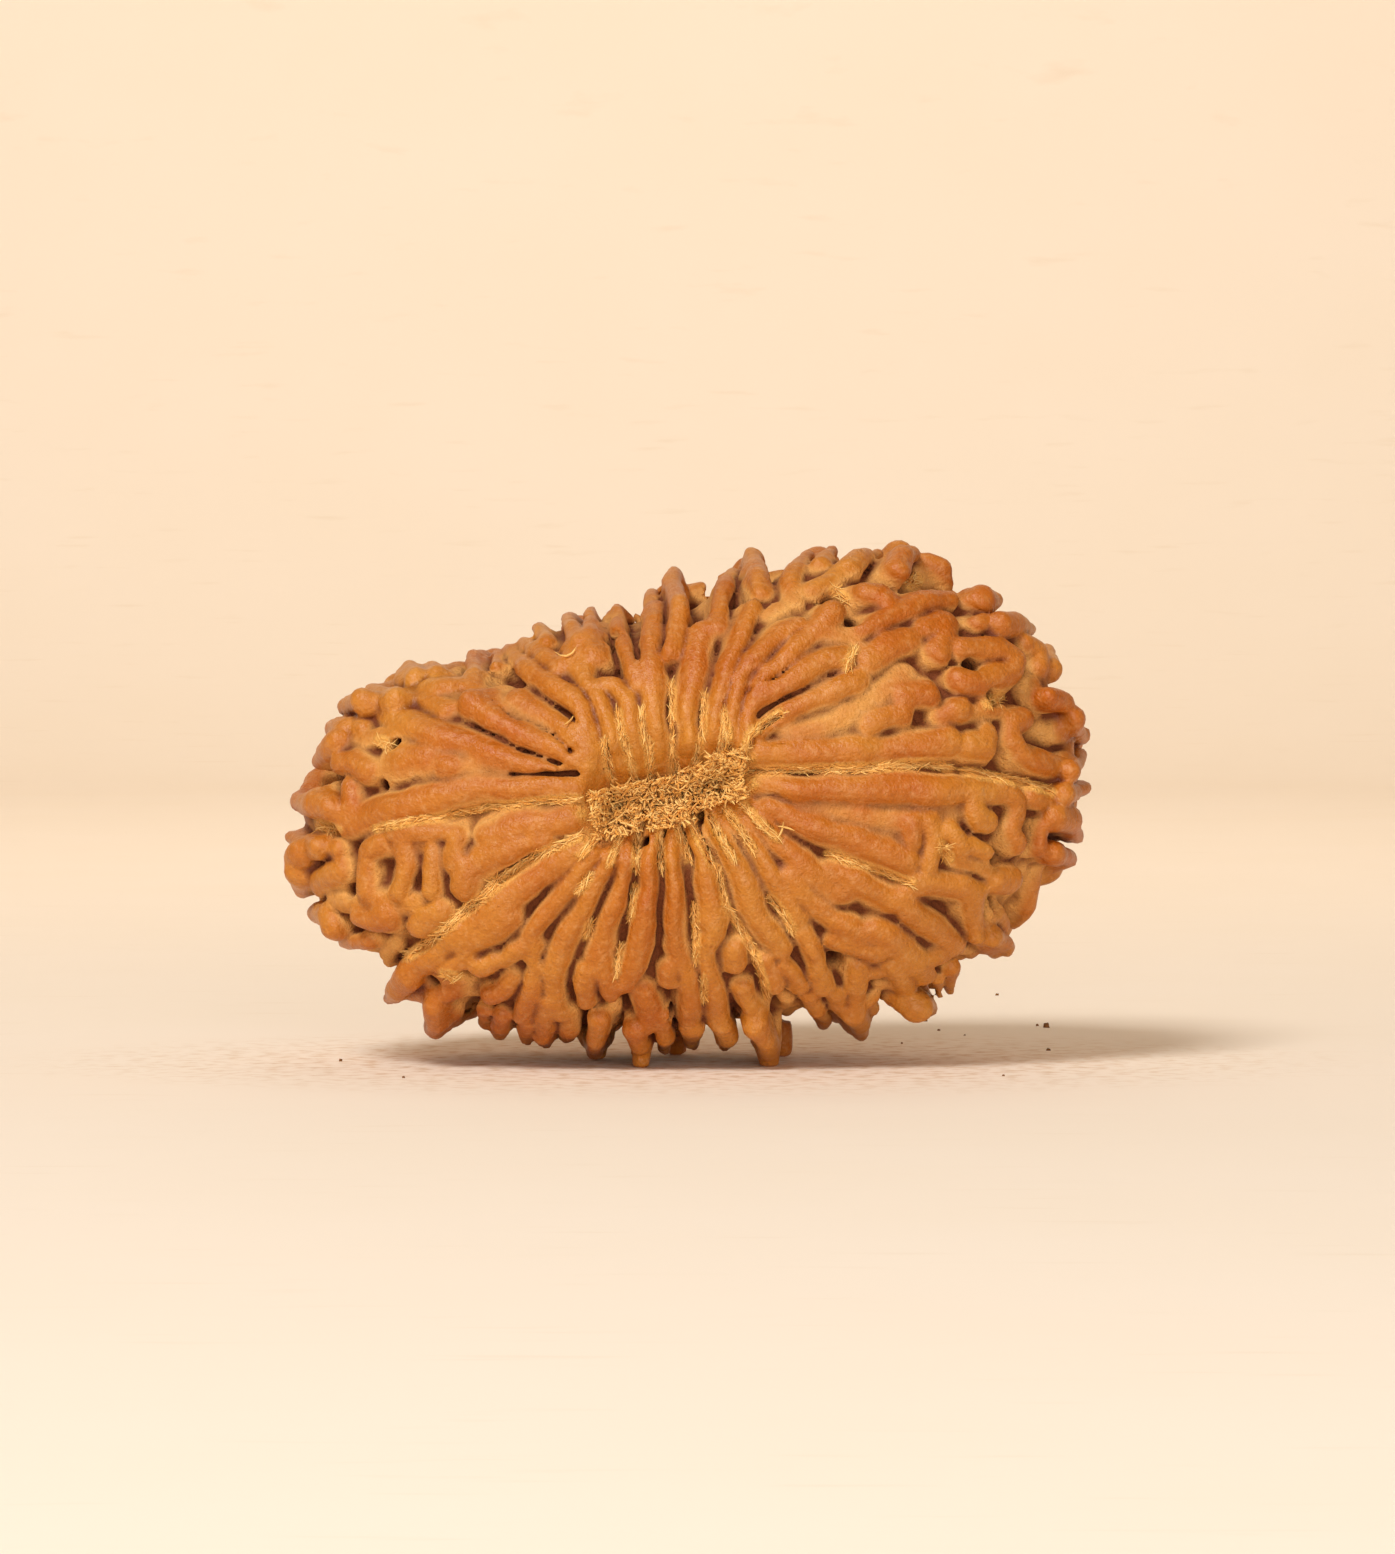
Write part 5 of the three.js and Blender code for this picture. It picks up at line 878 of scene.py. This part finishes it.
def line_distance(points, line):
    """Distance in x and z from points to a line of x and z pairs."""
    nearest = np.full(len(points), np.inf)
    corners = np.array(line).reshape(-1, 2)
    for begin, end in zip(corners, corners[1:]):
        course = end - begin
        gap = points[:, [0, 2]] - begin
        share = np.clip(gap @ course / (course @ course), 0, 1)
        nearest = np.minimum(nearest, np.linalg.norm(gap - share[:, None] * course, axis=1))
    return nearest


MAT_SPREAD, MAT_EDGE = 0.55, 0.14
matted = np.zeros(len(stone_points))
for count, width, turn, *line in STRIPS:
    if count == 0:
        continue
    near = 1 - line_distance(stone_points, line) / (MAT_SPREAD * width + MAT_EDGE)
    matted = np.maximum(matted, near * (stone_points[:, 1] < 0))
stone_values["matted"] = matted
stone_angle, stone_out = seen_at(stone_points[:, 0], stone_points[:, 2])
stone_values["round"] = np.radians(stone_angle) * 8
stone_values["along"] = np.hypot(stone_out, stone_points[:, 1])


def mesh_object(name, points, faces, values):
    """A smooth mesh object from points in the stone's own millimetres."""
    mesh = bpy.data.meshes.new(name)
    mesh.from_pydata(((points - centre) * MM).tolist(), [], [list(f) for f in faces])
    for key, numbers in values.items():
        attribute = mesh.attributes.new(key, "FLOAT", "POINT")
        attribute.data.foreach_set("value", np.asarray(numbers, dtype=np.float32))
    mesh.shade_smooth()
    piece = bpy.data.objects.new(name, mesh)
    bpy.context.scene.collection.objects.link(piece)
    return piece


stone = mesh_object("stone_wood", stone_points, quads, stone_values)
MOST_TRIANGLES = 186_000
thinning = stone.modifiers.new("thinning", "DECIMATE")
thinning.ratio = min(1, MOST_TRIANGLES / (2 * len(quads)))
evaluated = stone.evaluated_get(bpy.context.evaluated_depsgraph_get())
thinned = bpy.data.meshes.new_from_object(evaluated)
stone.modifiers.clear()
stone.data = thinned
stone.data.shade_smooth()


def colour(hex_code):
    """A colour for a shader from its sRGB hex code."""
    parts = [int(hex_code[i:i + 2], 16) / 255 for i in (1, 3, 5)]
    return [c / 12.92 if c <= 0.04045 else ((c + 0.055) / 1.055) ** 2.4 for c in parts] + [1]


def add(material, kind, links=None, values=None, **settings):
    """Adds a node with its settings, socket values and links from other nodes' outputs."""
    node = material.node_tree.nodes.new(kind)
    for key, value in settings.items():
        setattr(node, key, value)
    for socket, value in (values or {}).items():
        node.inputs[socket].default_value = value
    for socket, source in (links or {}).items():
        material.node_tree.links.new(source, node.inputs[socket])
    return node


def empty_material(name):
    material = bpy.data.materials.new(name)
    material.use_nodes = True
    material.node_tree.nodes.clear()
    return material


# Dry endocarp wood, brushed clean: satin orange-brown where it was rubbed, with tan dust left
# in the low ground, and dark brown painted shade in the narrow clefts.
wood = empty_material("dry_endocarp_wood")
depth = add(wood, "ShaderNodeAttribute", attribute_name="depth").outputs["Fac"]
crevice = add(wood, "ShaderNodeAttribute", attribute_name="crevice").outputs["Fac"]
hollow = add(wood, "ShaderNodeAttribute", attribute_name="hollow").outputs["Fac"]
along = add(wood, "ShaderNodeAttribute", attribute_name="along").outputs["Fac"]
round_lobes = add(wood, "ShaderNodeAttribute", attribute_name="round").outputs["Fac"]
position = add(wood, "ShaderNodeTexCoord").outputs["Object"]

# Patches a few ridges wide, where the wood is richer or more dusty
patches = add(
    wood, "ShaderNodeTexNoise", {"Vector": position},
    {"Scale": 1 / (7 * MM), "Detail": 3, "Roughness": 0.55},
).outputs["Fac"]
# Mottling of about a millimetre on the crests
mottle = add(
    wood, "ShaderNodeTexNoise", {"Vector": position},
    {"Scale": 1 / (1.3 * MM), "Detail": 5, "Roughness": 0.62},
).outputs["Fac"]
# Grain of 0.25 mm, drawn out along the ridges
grain_at = add(wood, "ShaderNodeCombineXYZ", {"X": round_lobes, "Y": along}).outputs[0]
grain_stretch = add(
    wood, "ShaderNodeVectorMath", {0: grain_at}, {1: (1 / 0.25, 1 / 1.8, 1)}, operation="MULTIPLY"
).outputs[0]
grain = add(
    wood, "ShaderNodeTexNoise", {"Vector": grain_stretch}, {"Scale": 1.0, "Detail": 3}
).outputs["Fac"]

# Specks of 0.3 mm, lighter and darker, all over the wood
specks = add(
    wood, "ShaderNodeTexNoise", {"Vector": position},
    {"Scale": 1 / (0.3 * MM), "Detail": 3, "Roughness": 0.65},
).outputs["Fac"]

low_ground = add(
    wood, "ShaderNodeMapRange", {"Value": depth},
    {"From Min": 0.1, "From Max": 0.65, "To Min": 0.0, "To Max": 1.0},
).outputs[0]
enclosed = add(
    wood, "ShaderNodeMapRange", {"Value": hollow},
    {"From Min": -0.35, "From Max": 0.1, "To Min": 0.0, "To Max": 1.0},
).outputs[0]
patch_share = add(
    wood, "ShaderNodeMapRange", {"Value": patches},
    {"From Min": 0.36, "From Max": 0.64, "To Min": 0.0, "To Max": 1.0},
).outputs[0]
rich = add(
    wood, "ShaderNodeMix", {"Factor": patch_share},
    {6: colour("#B45B04"), 7: colour("#C98128")}, data_type="RGBA",
).outputs[2]
mottled = add(
    wood, "ShaderNodeMapRange", {"Value": mottle},
    {"From Min": 0.35, "From Max": 0.7, "To Min": 0.0, "To Max": 0.4},
).outputs[0]
grained = add(
    wood, "ShaderNodeMapRange", {"Value": grain},
    {"From Min": 0.4, "From Max": 0.75, "To Min": 0.0, "To Max": 0.16},
).outputs[0]
dust_share = add(
    wood, "ShaderNodeMath", {0: low_ground, 1: enclosed}, operation="MULTIPLY"
).outputs[0]
dust_patched = add(
    wood, "ShaderNodeMath", {0: dust_share, 1: patches}, operation="MULTIPLY"
).outputs[0]
dust_amount = add(
    wood, "ShaderNodeMapRange", {"Value": dust_patched},
    {"From Min": 0.08, "From Max": 0.42, "To Min": 0.0, "To Max": 0.9},
).outputs[0]
# Painted shade: dark brown laid over the wood where the surface is most enclosed, in the narrow
# clefts
crevice_shade = add(
    wood, "ShaderNodeMapRange", {"Value": crevice},
    {"From Min": 0.04, "From Max": 0.42, "To Min": 0.0, "To Max": 0.92},
).outputs[0]
speck_light = add(
    wood, "ShaderNodeMapRange", {"Value": specks},
    {"From Min": 0.5, "From Max": 0.75, "To Min": 0.0, "To Max": 0.22},
).outputs[0]
speck_dark = add(
    wood, "ShaderNodeMapRange", {"Value": specks},
    {"From Min": 0.25, "From Max": 0.46, "To Min": 0.2, "To Max": 0.0},
).outputs[0]
# Straw matted down in the grooves, in crumbs of 0.18 mm
matted = add(wood, "ShaderNodeAttribute", attribute_name="matted").outputs["Fac"]
crumble = add(
    wood, "ShaderNodeTexNoise", {"Vector": position},
    {"Scale": 1 / (0.18 * MM), "Detail": 3, "Roughness": 0.6},
).outputs["Fac"]
matted_crumbs = add(
    wood, "ShaderNodeMath", {0: matted, 1: crumble}, operation="MULTIPLY"
).outputs[0]
matted_share = add(
    wood, "ShaderNodeMapRange", {"Value": matted_crumbs},
    {"From Min": 0.08, "From Max": 0.3, "To Min": 0.0, "To Max": 0.85},
).outputs[0]
# Each layer of colour lies over those before it, by its share.
wood_colour = rich
for layer_share, layer_colour in (
    (mottled, "#A25208"),
    (grained, "#DB9A52"),
    (dust_amount, "#E0A356"),
    (speck_light, "#F0BE84"),
    (speck_dark, "#8E4A14"),
    # The dark brown of the clefts is painted shade
    (crevice_shade, "#622000"),
    (matted_share, "#F2B458"),
):
    wood_colour = add(
        wood, "ShaderNodeMix", {"Factor": layer_share, 6: wood_colour},
        {7: colour(layer_colour)}, data_type="RGBA",
    ).outputs[2]

# Pores of 0.12 mm, a soft unevenness of 0.5 mm and, on dusty ground, crumbs of 0.18 mm
pores = add(
    wood, "ShaderNodeTexNoise", {"Vector": position},
    {"Scale": 1 / (0.12 * MM), "Detail": 2, "Roughness": 0.5},
).outputs["Fac"]
unevenness = add(
    wood, "ShaderNodeTexNoise", {"Vector": position},
    {"Scale": 1 / (0.5 * MM), "Detail": 4, "Roughness": 0.6},
).outputs["Fac"]
crumb_ground = add(
    wood, "ShaderNodeMath", {0: dust_amount, 1: matted_share}, operation="MAXIMUM"
).outputs[0]
crumb_height = add(
    wood, "ShaderNodeMath", {0: crumble, 1: crumb_ground}, operation="MULTIPLY"
).outputs[0]
wood_bump = None
for height, strength, height_mm in (
    (pores, 0.8, 0.06), (unevenness, 1.0, 0.11), (grain, 0.25, 0.04), (crumb_height, 0.9, 0.16),
):
    under = {} if wood_bump is None else {"Normal": wood_bump}
    wood_bump = add(
        wood, "ShaderNodeBump", {"Height": height, **under},
        {"Strength": strength, "Distance": height_mm * MM},
    ).outputs[0]
wood_roughness = add(
    wood, "ShaderNodeMapRange", {"Value": dust_share},
    {"From Min": 0.0, "From Max": 0.8, "To Min": 0.38, "To Max": 0.85},
).outputs[0]
wood_shader = add(
    wood, "ShaderNodeBsdfPrincipled",
    {"Base Color": wood_colour, "Roughness": wood_roughness, "Normal": wood_bump},
    {"IOR": 1.5, "Specular IOR Level": 0.38},
).outputs[0]
add(wood, "ShaderNodeOutputMaterial", {"Surface": wood_shader})
stone.data.materials.append(wood)
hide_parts("stone")
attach(stone, "root")

# Straw fibres
# Dry fibres of the fruit's flesh stay stuck in the grooves and matted over the mouth. Each is a
# flat pale strand, 0.04 to 0.13 mm wide. Those in a groove lie along it, those in the mat anyhow.
LOOSE = [
    # Single fibres lying on the ridges: x and z of both ends
    [-5.3, 18.05, -4.2, 18.3],
    [3.9, 10.4, 4.15, 11.1],
    [-5.4, 15.0, -5.0, 15.4],
    [3.7, 10.9, 4.4, 10.7],
]

# The surface as seen from the front: y of the first wood behind each x and z
first_inside = inside.argmax(axis=1)
seen = inside.any(axis=1) & (first_inside > 0)
column_x, column_z = np.meshgrid(np.arange(counts[0]), np.arange(counts[2]), indexing="ij")
before_value = field[column_x, np.maximum(first_inside - 1, 0), column_z]
inside_value = field[column_x, first_inside, column_z]
share = before_value / np.maximum(1e-6, before_value - inside_value)
front_y = np.where(seen, LOW[1] + CELL * (first_inside - 1 + share), np.nan)


def front_at(x, z):
    """y of the front surface at arrays of x and z, or nan beside the stone."""
    at_x, at_z = (x - LOW[0]) / CELL, (z - LOW[2]) / CELL
    i = np.clip(at_x.astype(int), 0, counts[0] - 2)
    k = np.clip(at_z.astype(int), 0, counts[2] - 2)
    share_x, share_z = at_x - i, at_z - k
    near = mix(front_y[i, k], front_y[i + 1, k], share_x)
    far = mix(front_y[i, k + 1], front_y[i + 1, k + 1], share_x)
    return mix(near, far, share_z)


STRAND_POINTS = 5
SHORT_IN_MAT, LONG_IN_MAT, IN_GROOVE = 3, 0.25, 1.6
TURN_SPREAD, BEND_SPREAD = 0.8, 0.16
LEAST_ROOM, ROOM_UNDER_CRESTS, MOST_PAST_STONE = 0.08, 0.2, 0.1
LIFTED_ENDS = 0.12
straw_source = np.random.default_rng(7)
front_limit = stone_points[:, 1].min() - MOST_PAST_STONE
strand_lines = []
strand_radii = []


def add_strands(count, width, turn, points, length, radius, heap=0.16, tries=4):
    """Strands laid along a strip, each on the lowest ground that it finds in a few tries."""
    points = np.array(points)
    steps = np.linalg.norm(np.diff(points, axis=0), axis=1)
    travelled = np.append(0, np.cumsum(steps))
    where = straw_source.uniform(0, travelled[-1], count)
    middle = np.stack([np.interp(where, travelled, points[:, a]) for a in (0, 1)], axis=1)
    step = np.clip(np.searchsorted(travelled, where, side="right") - 1, 0, len(steps) - 1)
    heading = np.diff(points, axis=0)[step] / steps[step][:, None]
    across = np.stack([-heading[:, 1], heading[:, 0]], axis=1)
    spots = middle + across * straw_source.uniform(-1, 1, (tries, count, 1)) * width * 0.5
    ground = np.nan_to_num(front_at(spots[..., 0], spots[..., 1]), nan=-99)
    middle = spots[ground.argmax(axis=0), np.arange(count)]
    angle = np.arctan2(heading[:, 1], heading[:, 0])
    angle += np.radians(straw_source.normal(0, TURN_SPREAD * turn, count))
    reach = straw_source.uniform(*length, count) / 2
    bend = straw_source.normal(0, BEND_SPREAD, count)
    share = np.linspace(-1, 1, STRAND_POINTS)
    bearing = angle[:, None] + bend[:, None] * share
    x = middle[:, :1] + share * reach[:, None] * np.cos(bearing)
    z = middle[:, 1:] + share * reach[:, None] * np.sin(bearing)
    y = front_at(x, z)
    smooth = y.copy()
    smooth[:, 1:-1] = (y[:, :-2] + y[:, 1:-1] + y[:, 2:]) / 3
    y = np.minimum(smooth, y)
    under_crests = y.mean(axis=1, keepdims=True) + HALF_THICKNESS - ROOM_UNDER_CRESTS
    room = np.maximum(LEAST_ROOM, under_crests)
    lift = np.minimum(straw_source.uniform(0, heap, (count, 1)), room)
    lift = lift + straw_source.uniform(0, LIFTED_ENDS, (count, 1)) * share**2
    thick = straw_source.uniform(*radius, count)
    y = np.maximum(y - thick[:, None] - lift, front_limit)
    whole = ~np.isnan(y).any(axis=1)
    strand_lines.append(np.stack([x, y, z], axis=-1)[whole])
    strand_radii.append(thick[whole])


for count, width, turn, *line in STRIPS:
    points = list(zip(line[::2], line[1::2]))
    # The mat over the mouth is wider than any cleft, and most of its strands are short.
    if width > WIDEST_CLEFT:
        short = SHORT_IN_MAT * count
        add_strands(short, width, 2 * turn, points, (0.1, 0.32), (0.03, 0.065), 1.3, 1)
        long = int(LONG_IN_MAT * count)
        add_strands(long, width, turn, points, (0.4, 1.1), (0.03, 0.06), 1.3, 1)
    else:
        laid = int(IN_GROOVE * count)
        add_strands(laid, width, turn, points, (0.3, 0.9), (0.018, 0.042), 0.12)
for x_from, z_from, x_to, z_to in LOOSE:
    size = math.dist((x_from, z_from), (x_to, z_to))
    add_strands(1, 0.01, 2, [(x_from, z_from), (x_to, z_to)], (size, size), (0.05, 0.055))
lines = np.concatenate(strand_lines)
radii = np.concatenate(strand_radii)
headings = np.gradient(lines, axis=1)
headings /= np.maximum(1e-9, np.linalg.norm(headings, axis=2, keepdims=True))
sideways = np.cross(headings, [0, 1, 0])
sideways /= np.maximum(1e-9, np.linalg.norm(sideways, axis=2, keepdims=True))
upward = np.cross(sideways, headings)
SIDES = 4
turn = 2 * np.pi * np.arange(SIDES) / SIDES
taper = np.array([0.35, 0.85, 1, 0.85, 0.3])[None, :, None, None]
rings = lines[:, :, None] + radii[:, None, None, None] * taper * (
    np.cos(turn)[None, None, :, None] * sideways[:, :, None]
    + 0.6 * np.sin(turn)[None, None, :, None] * upward[:, :, None]
)
strand, ring, side = np.meshgrid(
    np.arange(len(lines)), np.arange(STRAND_POINTS - 1), np.arange(SIDES), indexing="ij"
)
at = (strand * STRAND_POINTS + ring) * SIDES
beside = (side + 1) % SIDES
fibre_faces = np.stack([at + side, at + beside, at + SIDES + beside, at + SIDES + side], axis=-1)
tone = np.repeat(straw_source.uniform(0, 1, len(lines)), STRAND_POINTS * SIDES)
fibres = mesh_object(
    "straw_fibres", rings.reshape(-1, 3), fibre_faces.reshape(-1, 4), {"tone": tone}
)

# Dried plant fibre: pale straw, each strand of its own tone, with browner stretches.
straw = empty_material("dried_plant_fibre")
tone_value = add(straw, "ShaderNodeAttribute", attribute_name="tone").outputs["Fac"]
straw_at = add(straw, "ShaderNodeTexCoord").outputs["Object"]
straw_noise = add(
    straw, "ShaderNodeTexNoise", {"Vector": straw_at}, {"Scale": 1 / (0.3 * MM), "Detail": 2}
).outputs["Fac"]
pale = add(
    straw, "ShaderNodeMix", {"Factor": tone_value},
    {6: colour("#EBA84C"), 7: colour("#FFD584")}, data_type="RGBA",
).outputs[2]
straw_dark = add(
    straw, "ShaderNodeMapRange", {"Value": straw_noise},
    {"From Min": 0.5, "From Max": 0.75, "To Min": 0.0, "To Max": 0.4},
).outputs[0]
straw_colour = add(
    straw, "ShaderNodeMix", {"Factor": straw_dark, 6: pale},
    {7: colour("#B06C26")}, data_type="RGBA",
).outputs[2]
straw_bump = add(
    straw, "ShaderNodeBump", {"Height": straw_noise}, {"Strength": 0.4, "Distance": 0.02 * MM}
).outputs[0]
straw_shader = add(
    straw, "ShaderNodeBsdfPrincipled",
    {"Base Color": straw_colour, "Normal": straw_bump},
    {"Roughness": 0.6, "IOR": 1.5, "Specular IOR Level": 0.35},
).outputs[0]
add(straw, "ShaderNodeOutputMaterial", {"Surface": straw_shader})
fibres.data.materials.append(straw)
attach(fibres, "root")

# The board
# The stone stands on a wide pale board that turns up far behind it in one sweep, so that no
# edge shows. It is painted matt cream, with a few faint scuffs and a little dust.
BOARD_FRONT, BOARD_TURN, BOARD_RADIUS, BOARD_TOP = -600, 330, 120, 450
BOARD_HALF_WIDTH = 600
bend = np.radians(np.linspace(0, 90, 25))
profile = [(BOARD_FRONT, 0), (BOARD_FRONT / 2, 0)] + [
    (BOARD_TURN + BOARD_RADIUS * math.sin(b), BOARD_RADIUS * (1 - math.cos(b))) for b in bend
] + [(BOARD_TURN + BOARD_RADIUS, BOARD_TOP)]
board_x = np.linspace(-BOARD_HALF_WIDTH, BOARD_HALF_WIDTH, 9)
board_points = np.array([[x, y, z] for y, z in profile for x in board_x]) + centre
across = len(board_x)
board_faces = [
    [row * across + i, row * across + i + 1, (row + 1) * across + i + 1, (row + 1) * across + i]
    for row in range(len(profile) - 1) for i in range(across - 1)
]
board = mesh_object("board", board_points, board_faces, {})

# Matt cream paint: a faint cloudiness of 20 mm, scuffs of about a millimetre, and a thin
# scatter of brown dust under and beside the stone.
paint = empty_material("matt_cream_paint")
paint_at = add(paint, "ShaderNodeTexCoord").outputs["Object"]
cloud = add(
    paint, "ShaderNodeTexNoise", {"Vector": paint_at}, {"Scale": 1 / (20 * MM), "Detail": 3}
).outputs["Fac"]
stretch = add(
    paint, "ShaderNodeVectorMath", {0: paint_at}, {1: (1 / (9 * MM), 1 / (1.2 * MM), 1)},
    operation="MULTIPLY",
).outputs[0]
scuff = add(
    paint, "ShaderNodeTexNoise", {"Vector": stretch}, {"Scale": 1.0, "Detail": 4}
).outputs["Fac"]
scuff_share = add(
    paint, "ShaderNodeMapRange", {"Value": scuff},
    {"From Min": 0.62, "From Max": 0.85, "To Min": 0.0, "To Max": 0.2},
).outputs[0]
near_stone = add(
    paint, "ShaderNodeVectorMath", {0: paint_at},
    {1: (1 / (24 * MM), 1 / (15 * MM), 1 / (15 * MM))}, operation="MULTIPLY",
).outputs[0]
away = add(paint, "ShaderNodeVectorMath", {0: near_stone}, operation="LENGTH").outputs["Value"]
dust_grains = add(
    paint, "ShaderNodeTexNoise", {"Vector": paint_at}, {"Scale": 1 / (0.8 * MM), "Detail": 5}
).outputs["Fac"]
dust_reach = add(
    paint, "ShaderNodeMapRange", {"Value": away},
    {"From Min": 0.6, "From Max": 1.3, "To Min": 0.9, "To Max": 0.0},
).outputs[0]
dust_spread = add(
    paint, "ShaderNodeMapRange", {"Value": dust_grains},
    {"From Min": 0.46, "From Max": 0.72, "To Min": 0.0, "To Max": 0.8},
).outputs[0]
dust_on_paint = add(
    paint, "ShaderNodeMath", {0: dust_reach, 1: dust_spread}, operation="MULTIPLY"
).outputs[0]
clouded = add(
    paint, "ShaderNodeMix", {"Factor": cloud},
    {6: colour("#FBEDDA"), 7: colour("#FDF0E0")}, data_type="RGBA",
).outputs[2]
paint_colour = add(
    paint, "ShaderNodeMix", {"Factor": scuff_share, 6: clouded},
    {7: colour("#D8B98E")}, data_type="RGBA",
).outputs[2]
dusted_paint = add(
    paint, "ShaderNodeMix", {"Factor": dust_on_paint, 6: paint_colour},
    {7: colour("#CFA775")}, data_type="RGBA",
).outputs[2]
paint_bump = add(
    paint, "ShaderNodeBump", {"Height": scuff}, {"Strength": 0.15, "Distance": 0.1 * MM}
).outputs[0]
paint_shader = add(
    paint, "ShaderNodeBsdfPrincipled",
    {"Base Color": dusted_paint, "Normal": paint_bump},
    {"Roughness": 0.8, "IOR": 1.45, "Specular IOR Level": 0.2},
).outputs[0]
add(paint, "ShaderNodeOutputMaterial", {"Surface": paint_shader})
board.data.materials.append(paint)

# Crumbs of the fruit's dried flesh have fallen off the stone and lie loose on the board beside
# it. Each is a ragged flat block with six corners.
CRUMBS = [
    # x, y and size
    [11.4, 24, 0.13], [11.8, 18, 0.1], [12.9, 15, 0.07], [9.8, 10, 0.08], [16.3, 6, 0.12],
    [17.0, 20, 0.22], [16.6, 21, 0.1], [15.7, 42, 0.12], [-15.0, 52, 0.17], [-14.6, 54, 0.12],
    [-15.4, 0, 0.12], [-12.2, -9, 0.08], [13.6, -8, 0.08],
]
CRUMB_SIDES = 6
crumb_source = np.random.default_rng(11)
crumb_points = []
crumb_faces = []
for x, y, size in CRUMBS:
    first = len(crumb_points)
    for level in (0, 1):
        for corner in range(CRUMB_SIDES):
            angle = 2 * math.pi * corner / CRUMB_SIDES
            reach = size * crumb_source.uniform(0.6, 1.1) * (1 - 0.35 * level)
            height = level * size * crumb_source.uniform(0.6, 1.1)
            spot = [x + reach * math.cos(angle), y + reach * math.sin(angle), height]
            crumb_points.append(spot + centre)
    for corner in range(CRUMB_SIDES):
        beside = (corner + 1) % CRUMB_SIDES
        crumb_faces.append([
            first + corner, first + beside,
            first + CRUMB_SIDES + beside, first + CRUMB_SIDES + corner,
        ])
    crumb_faces.append([first + corner for corner in reversed(range(CRUMB_SIDES))])
    crumb_faces.append([first + CRUMB_SIDES + corner for corner in range(CRUMB_SIDES)])
crumbs = mesh_object("crumbs", np.array(crumb_points), crumb_faces, {})

# Dried fruit flesh: dark brown crumbs, mottled over a tenth of a millimetre.
flesh = empty_material("dried_fruit_flesh")
flesh_at = add(flesh, "ShaderNodeTexCoord").outputs["Object"]
flesh_noise = add(
    flesh, "ShaderNodeTexNoise", {"Vector": flesh_at}, {"Scale": 1 / (0.1 * MM), "Detail": 3}
).outputs["Fac"]
flesh_colour = add(
    flesh, "ShaderNodeMix", {"Factor": flesh_noise},
    {6: colour("#4A2A12"), 7: colour("#A06C3A")}, data_type="RGBA",
).outputs[2]
flesh_bump = add(
    flesh, "ShaderNodeBump", {"Height": flesh_noise}, {"Strength": 0.8, "Distance": 0.03 * MM}
).outputs[0]
flesh_shader = add(
    flesh, "ShaderNodeBsdfPrincipled", {"Base Color": flesh_colour, "Normal": flesh_bump},
    {"Roughness": 0.8, "Specular IOR Level": 0.3},
).outputs[0]
add(flesh, "ShaderNodeOutputMaterial", {"Surface": flesh_shader})
crumbs.data.materials.append(flesh)

# Light
# Soft daylight comes from a wide diffuser above and to the left, with the pale room all round.
# A low fill reaches the fingers under the rim, and a small lamp lights the board behind.
world = bpy.data.worlds.new("pale_room")
world.use_nodes = True
world.node_tree.nodes["Background"].inputs["Color"].default_value = colour("#FFE6C8")
world.node_tree.nodes["Background"].inputs["Strength"].default_value = 0.32
bpy.context.scene.world = world


def add_light(name, place_mm, target_mm, size_mm, power, hex_code):
    lamp = bpy.data.lights.new(name, "AREA")
    lamp.size = size_mm * MM
    lamp.energy = power
    lamp.color = colour(hex_code)[:3]
    light = bpy.data.objects.new(name, lamp)
    bpy.context.scene.collection.objects.link(light)
    start, target = np.array(place_mm, dtype=float), np.array(target_mm, dtype=float)
    light.location = start * MM
    light.visible_camera = False
    heading = target - start
    flat = math.hypot(heading[0], heading[1])
    light.rotation_euler = (
        math.pi / 2 + math.atan2(heading[2], flat), 0, math.atan2(-heading[0], heading[1])
    )


add_light("diffuser", (-220, -380, 460), (0, 0, 10), 180, 2.65, "#FFFFFF")
add_light("front_fill", (80, -500, 60), (0, 0, 8), 240, 1.2, "#FFFFFF")
add_light("backdrop_light", (0, 170, 250), (0, 380, 30), 200, 0.26, "#FFEED8")

# The camera
# It stands level with the mouth and looks a little down, far enough back for a flat view.
IMAGE_HEIGHT = 1554
PIXELS_PER_MM = 22.6
DISTANCE, LOOK_DOWN = 280, math.radians(2)
TARGET = (0.42, 0, 12.6)
camera_data = bpy.data.cameras.new("camera")
camera_data.lens = camera_data.sensor_width * DISTANCE * PIXELS_PER_MM / IMAGE_HEIGHT
camera_data.clip_start, camera_data.clip_end = 0.01, 10
camera = bpy.data.objects.new("camera", camera_data)
camera.location = (
    TARGET[0] * MM,
    -DISTANCE * MM * math.cos(LOOK_DOWN),
    (TARGET[2] + DISTANCE * math.sin(LOOK_DOWN)) * MM,
)
camera.rotation_euler = (math.pi / 2 - LOOK_DOWN, 0, 0)
bpy.context.scene.collection.objects.link(camera)
bpy.context.scene.camera = camera
bpy.context.scene.view_settings.view_transform = "Standard"
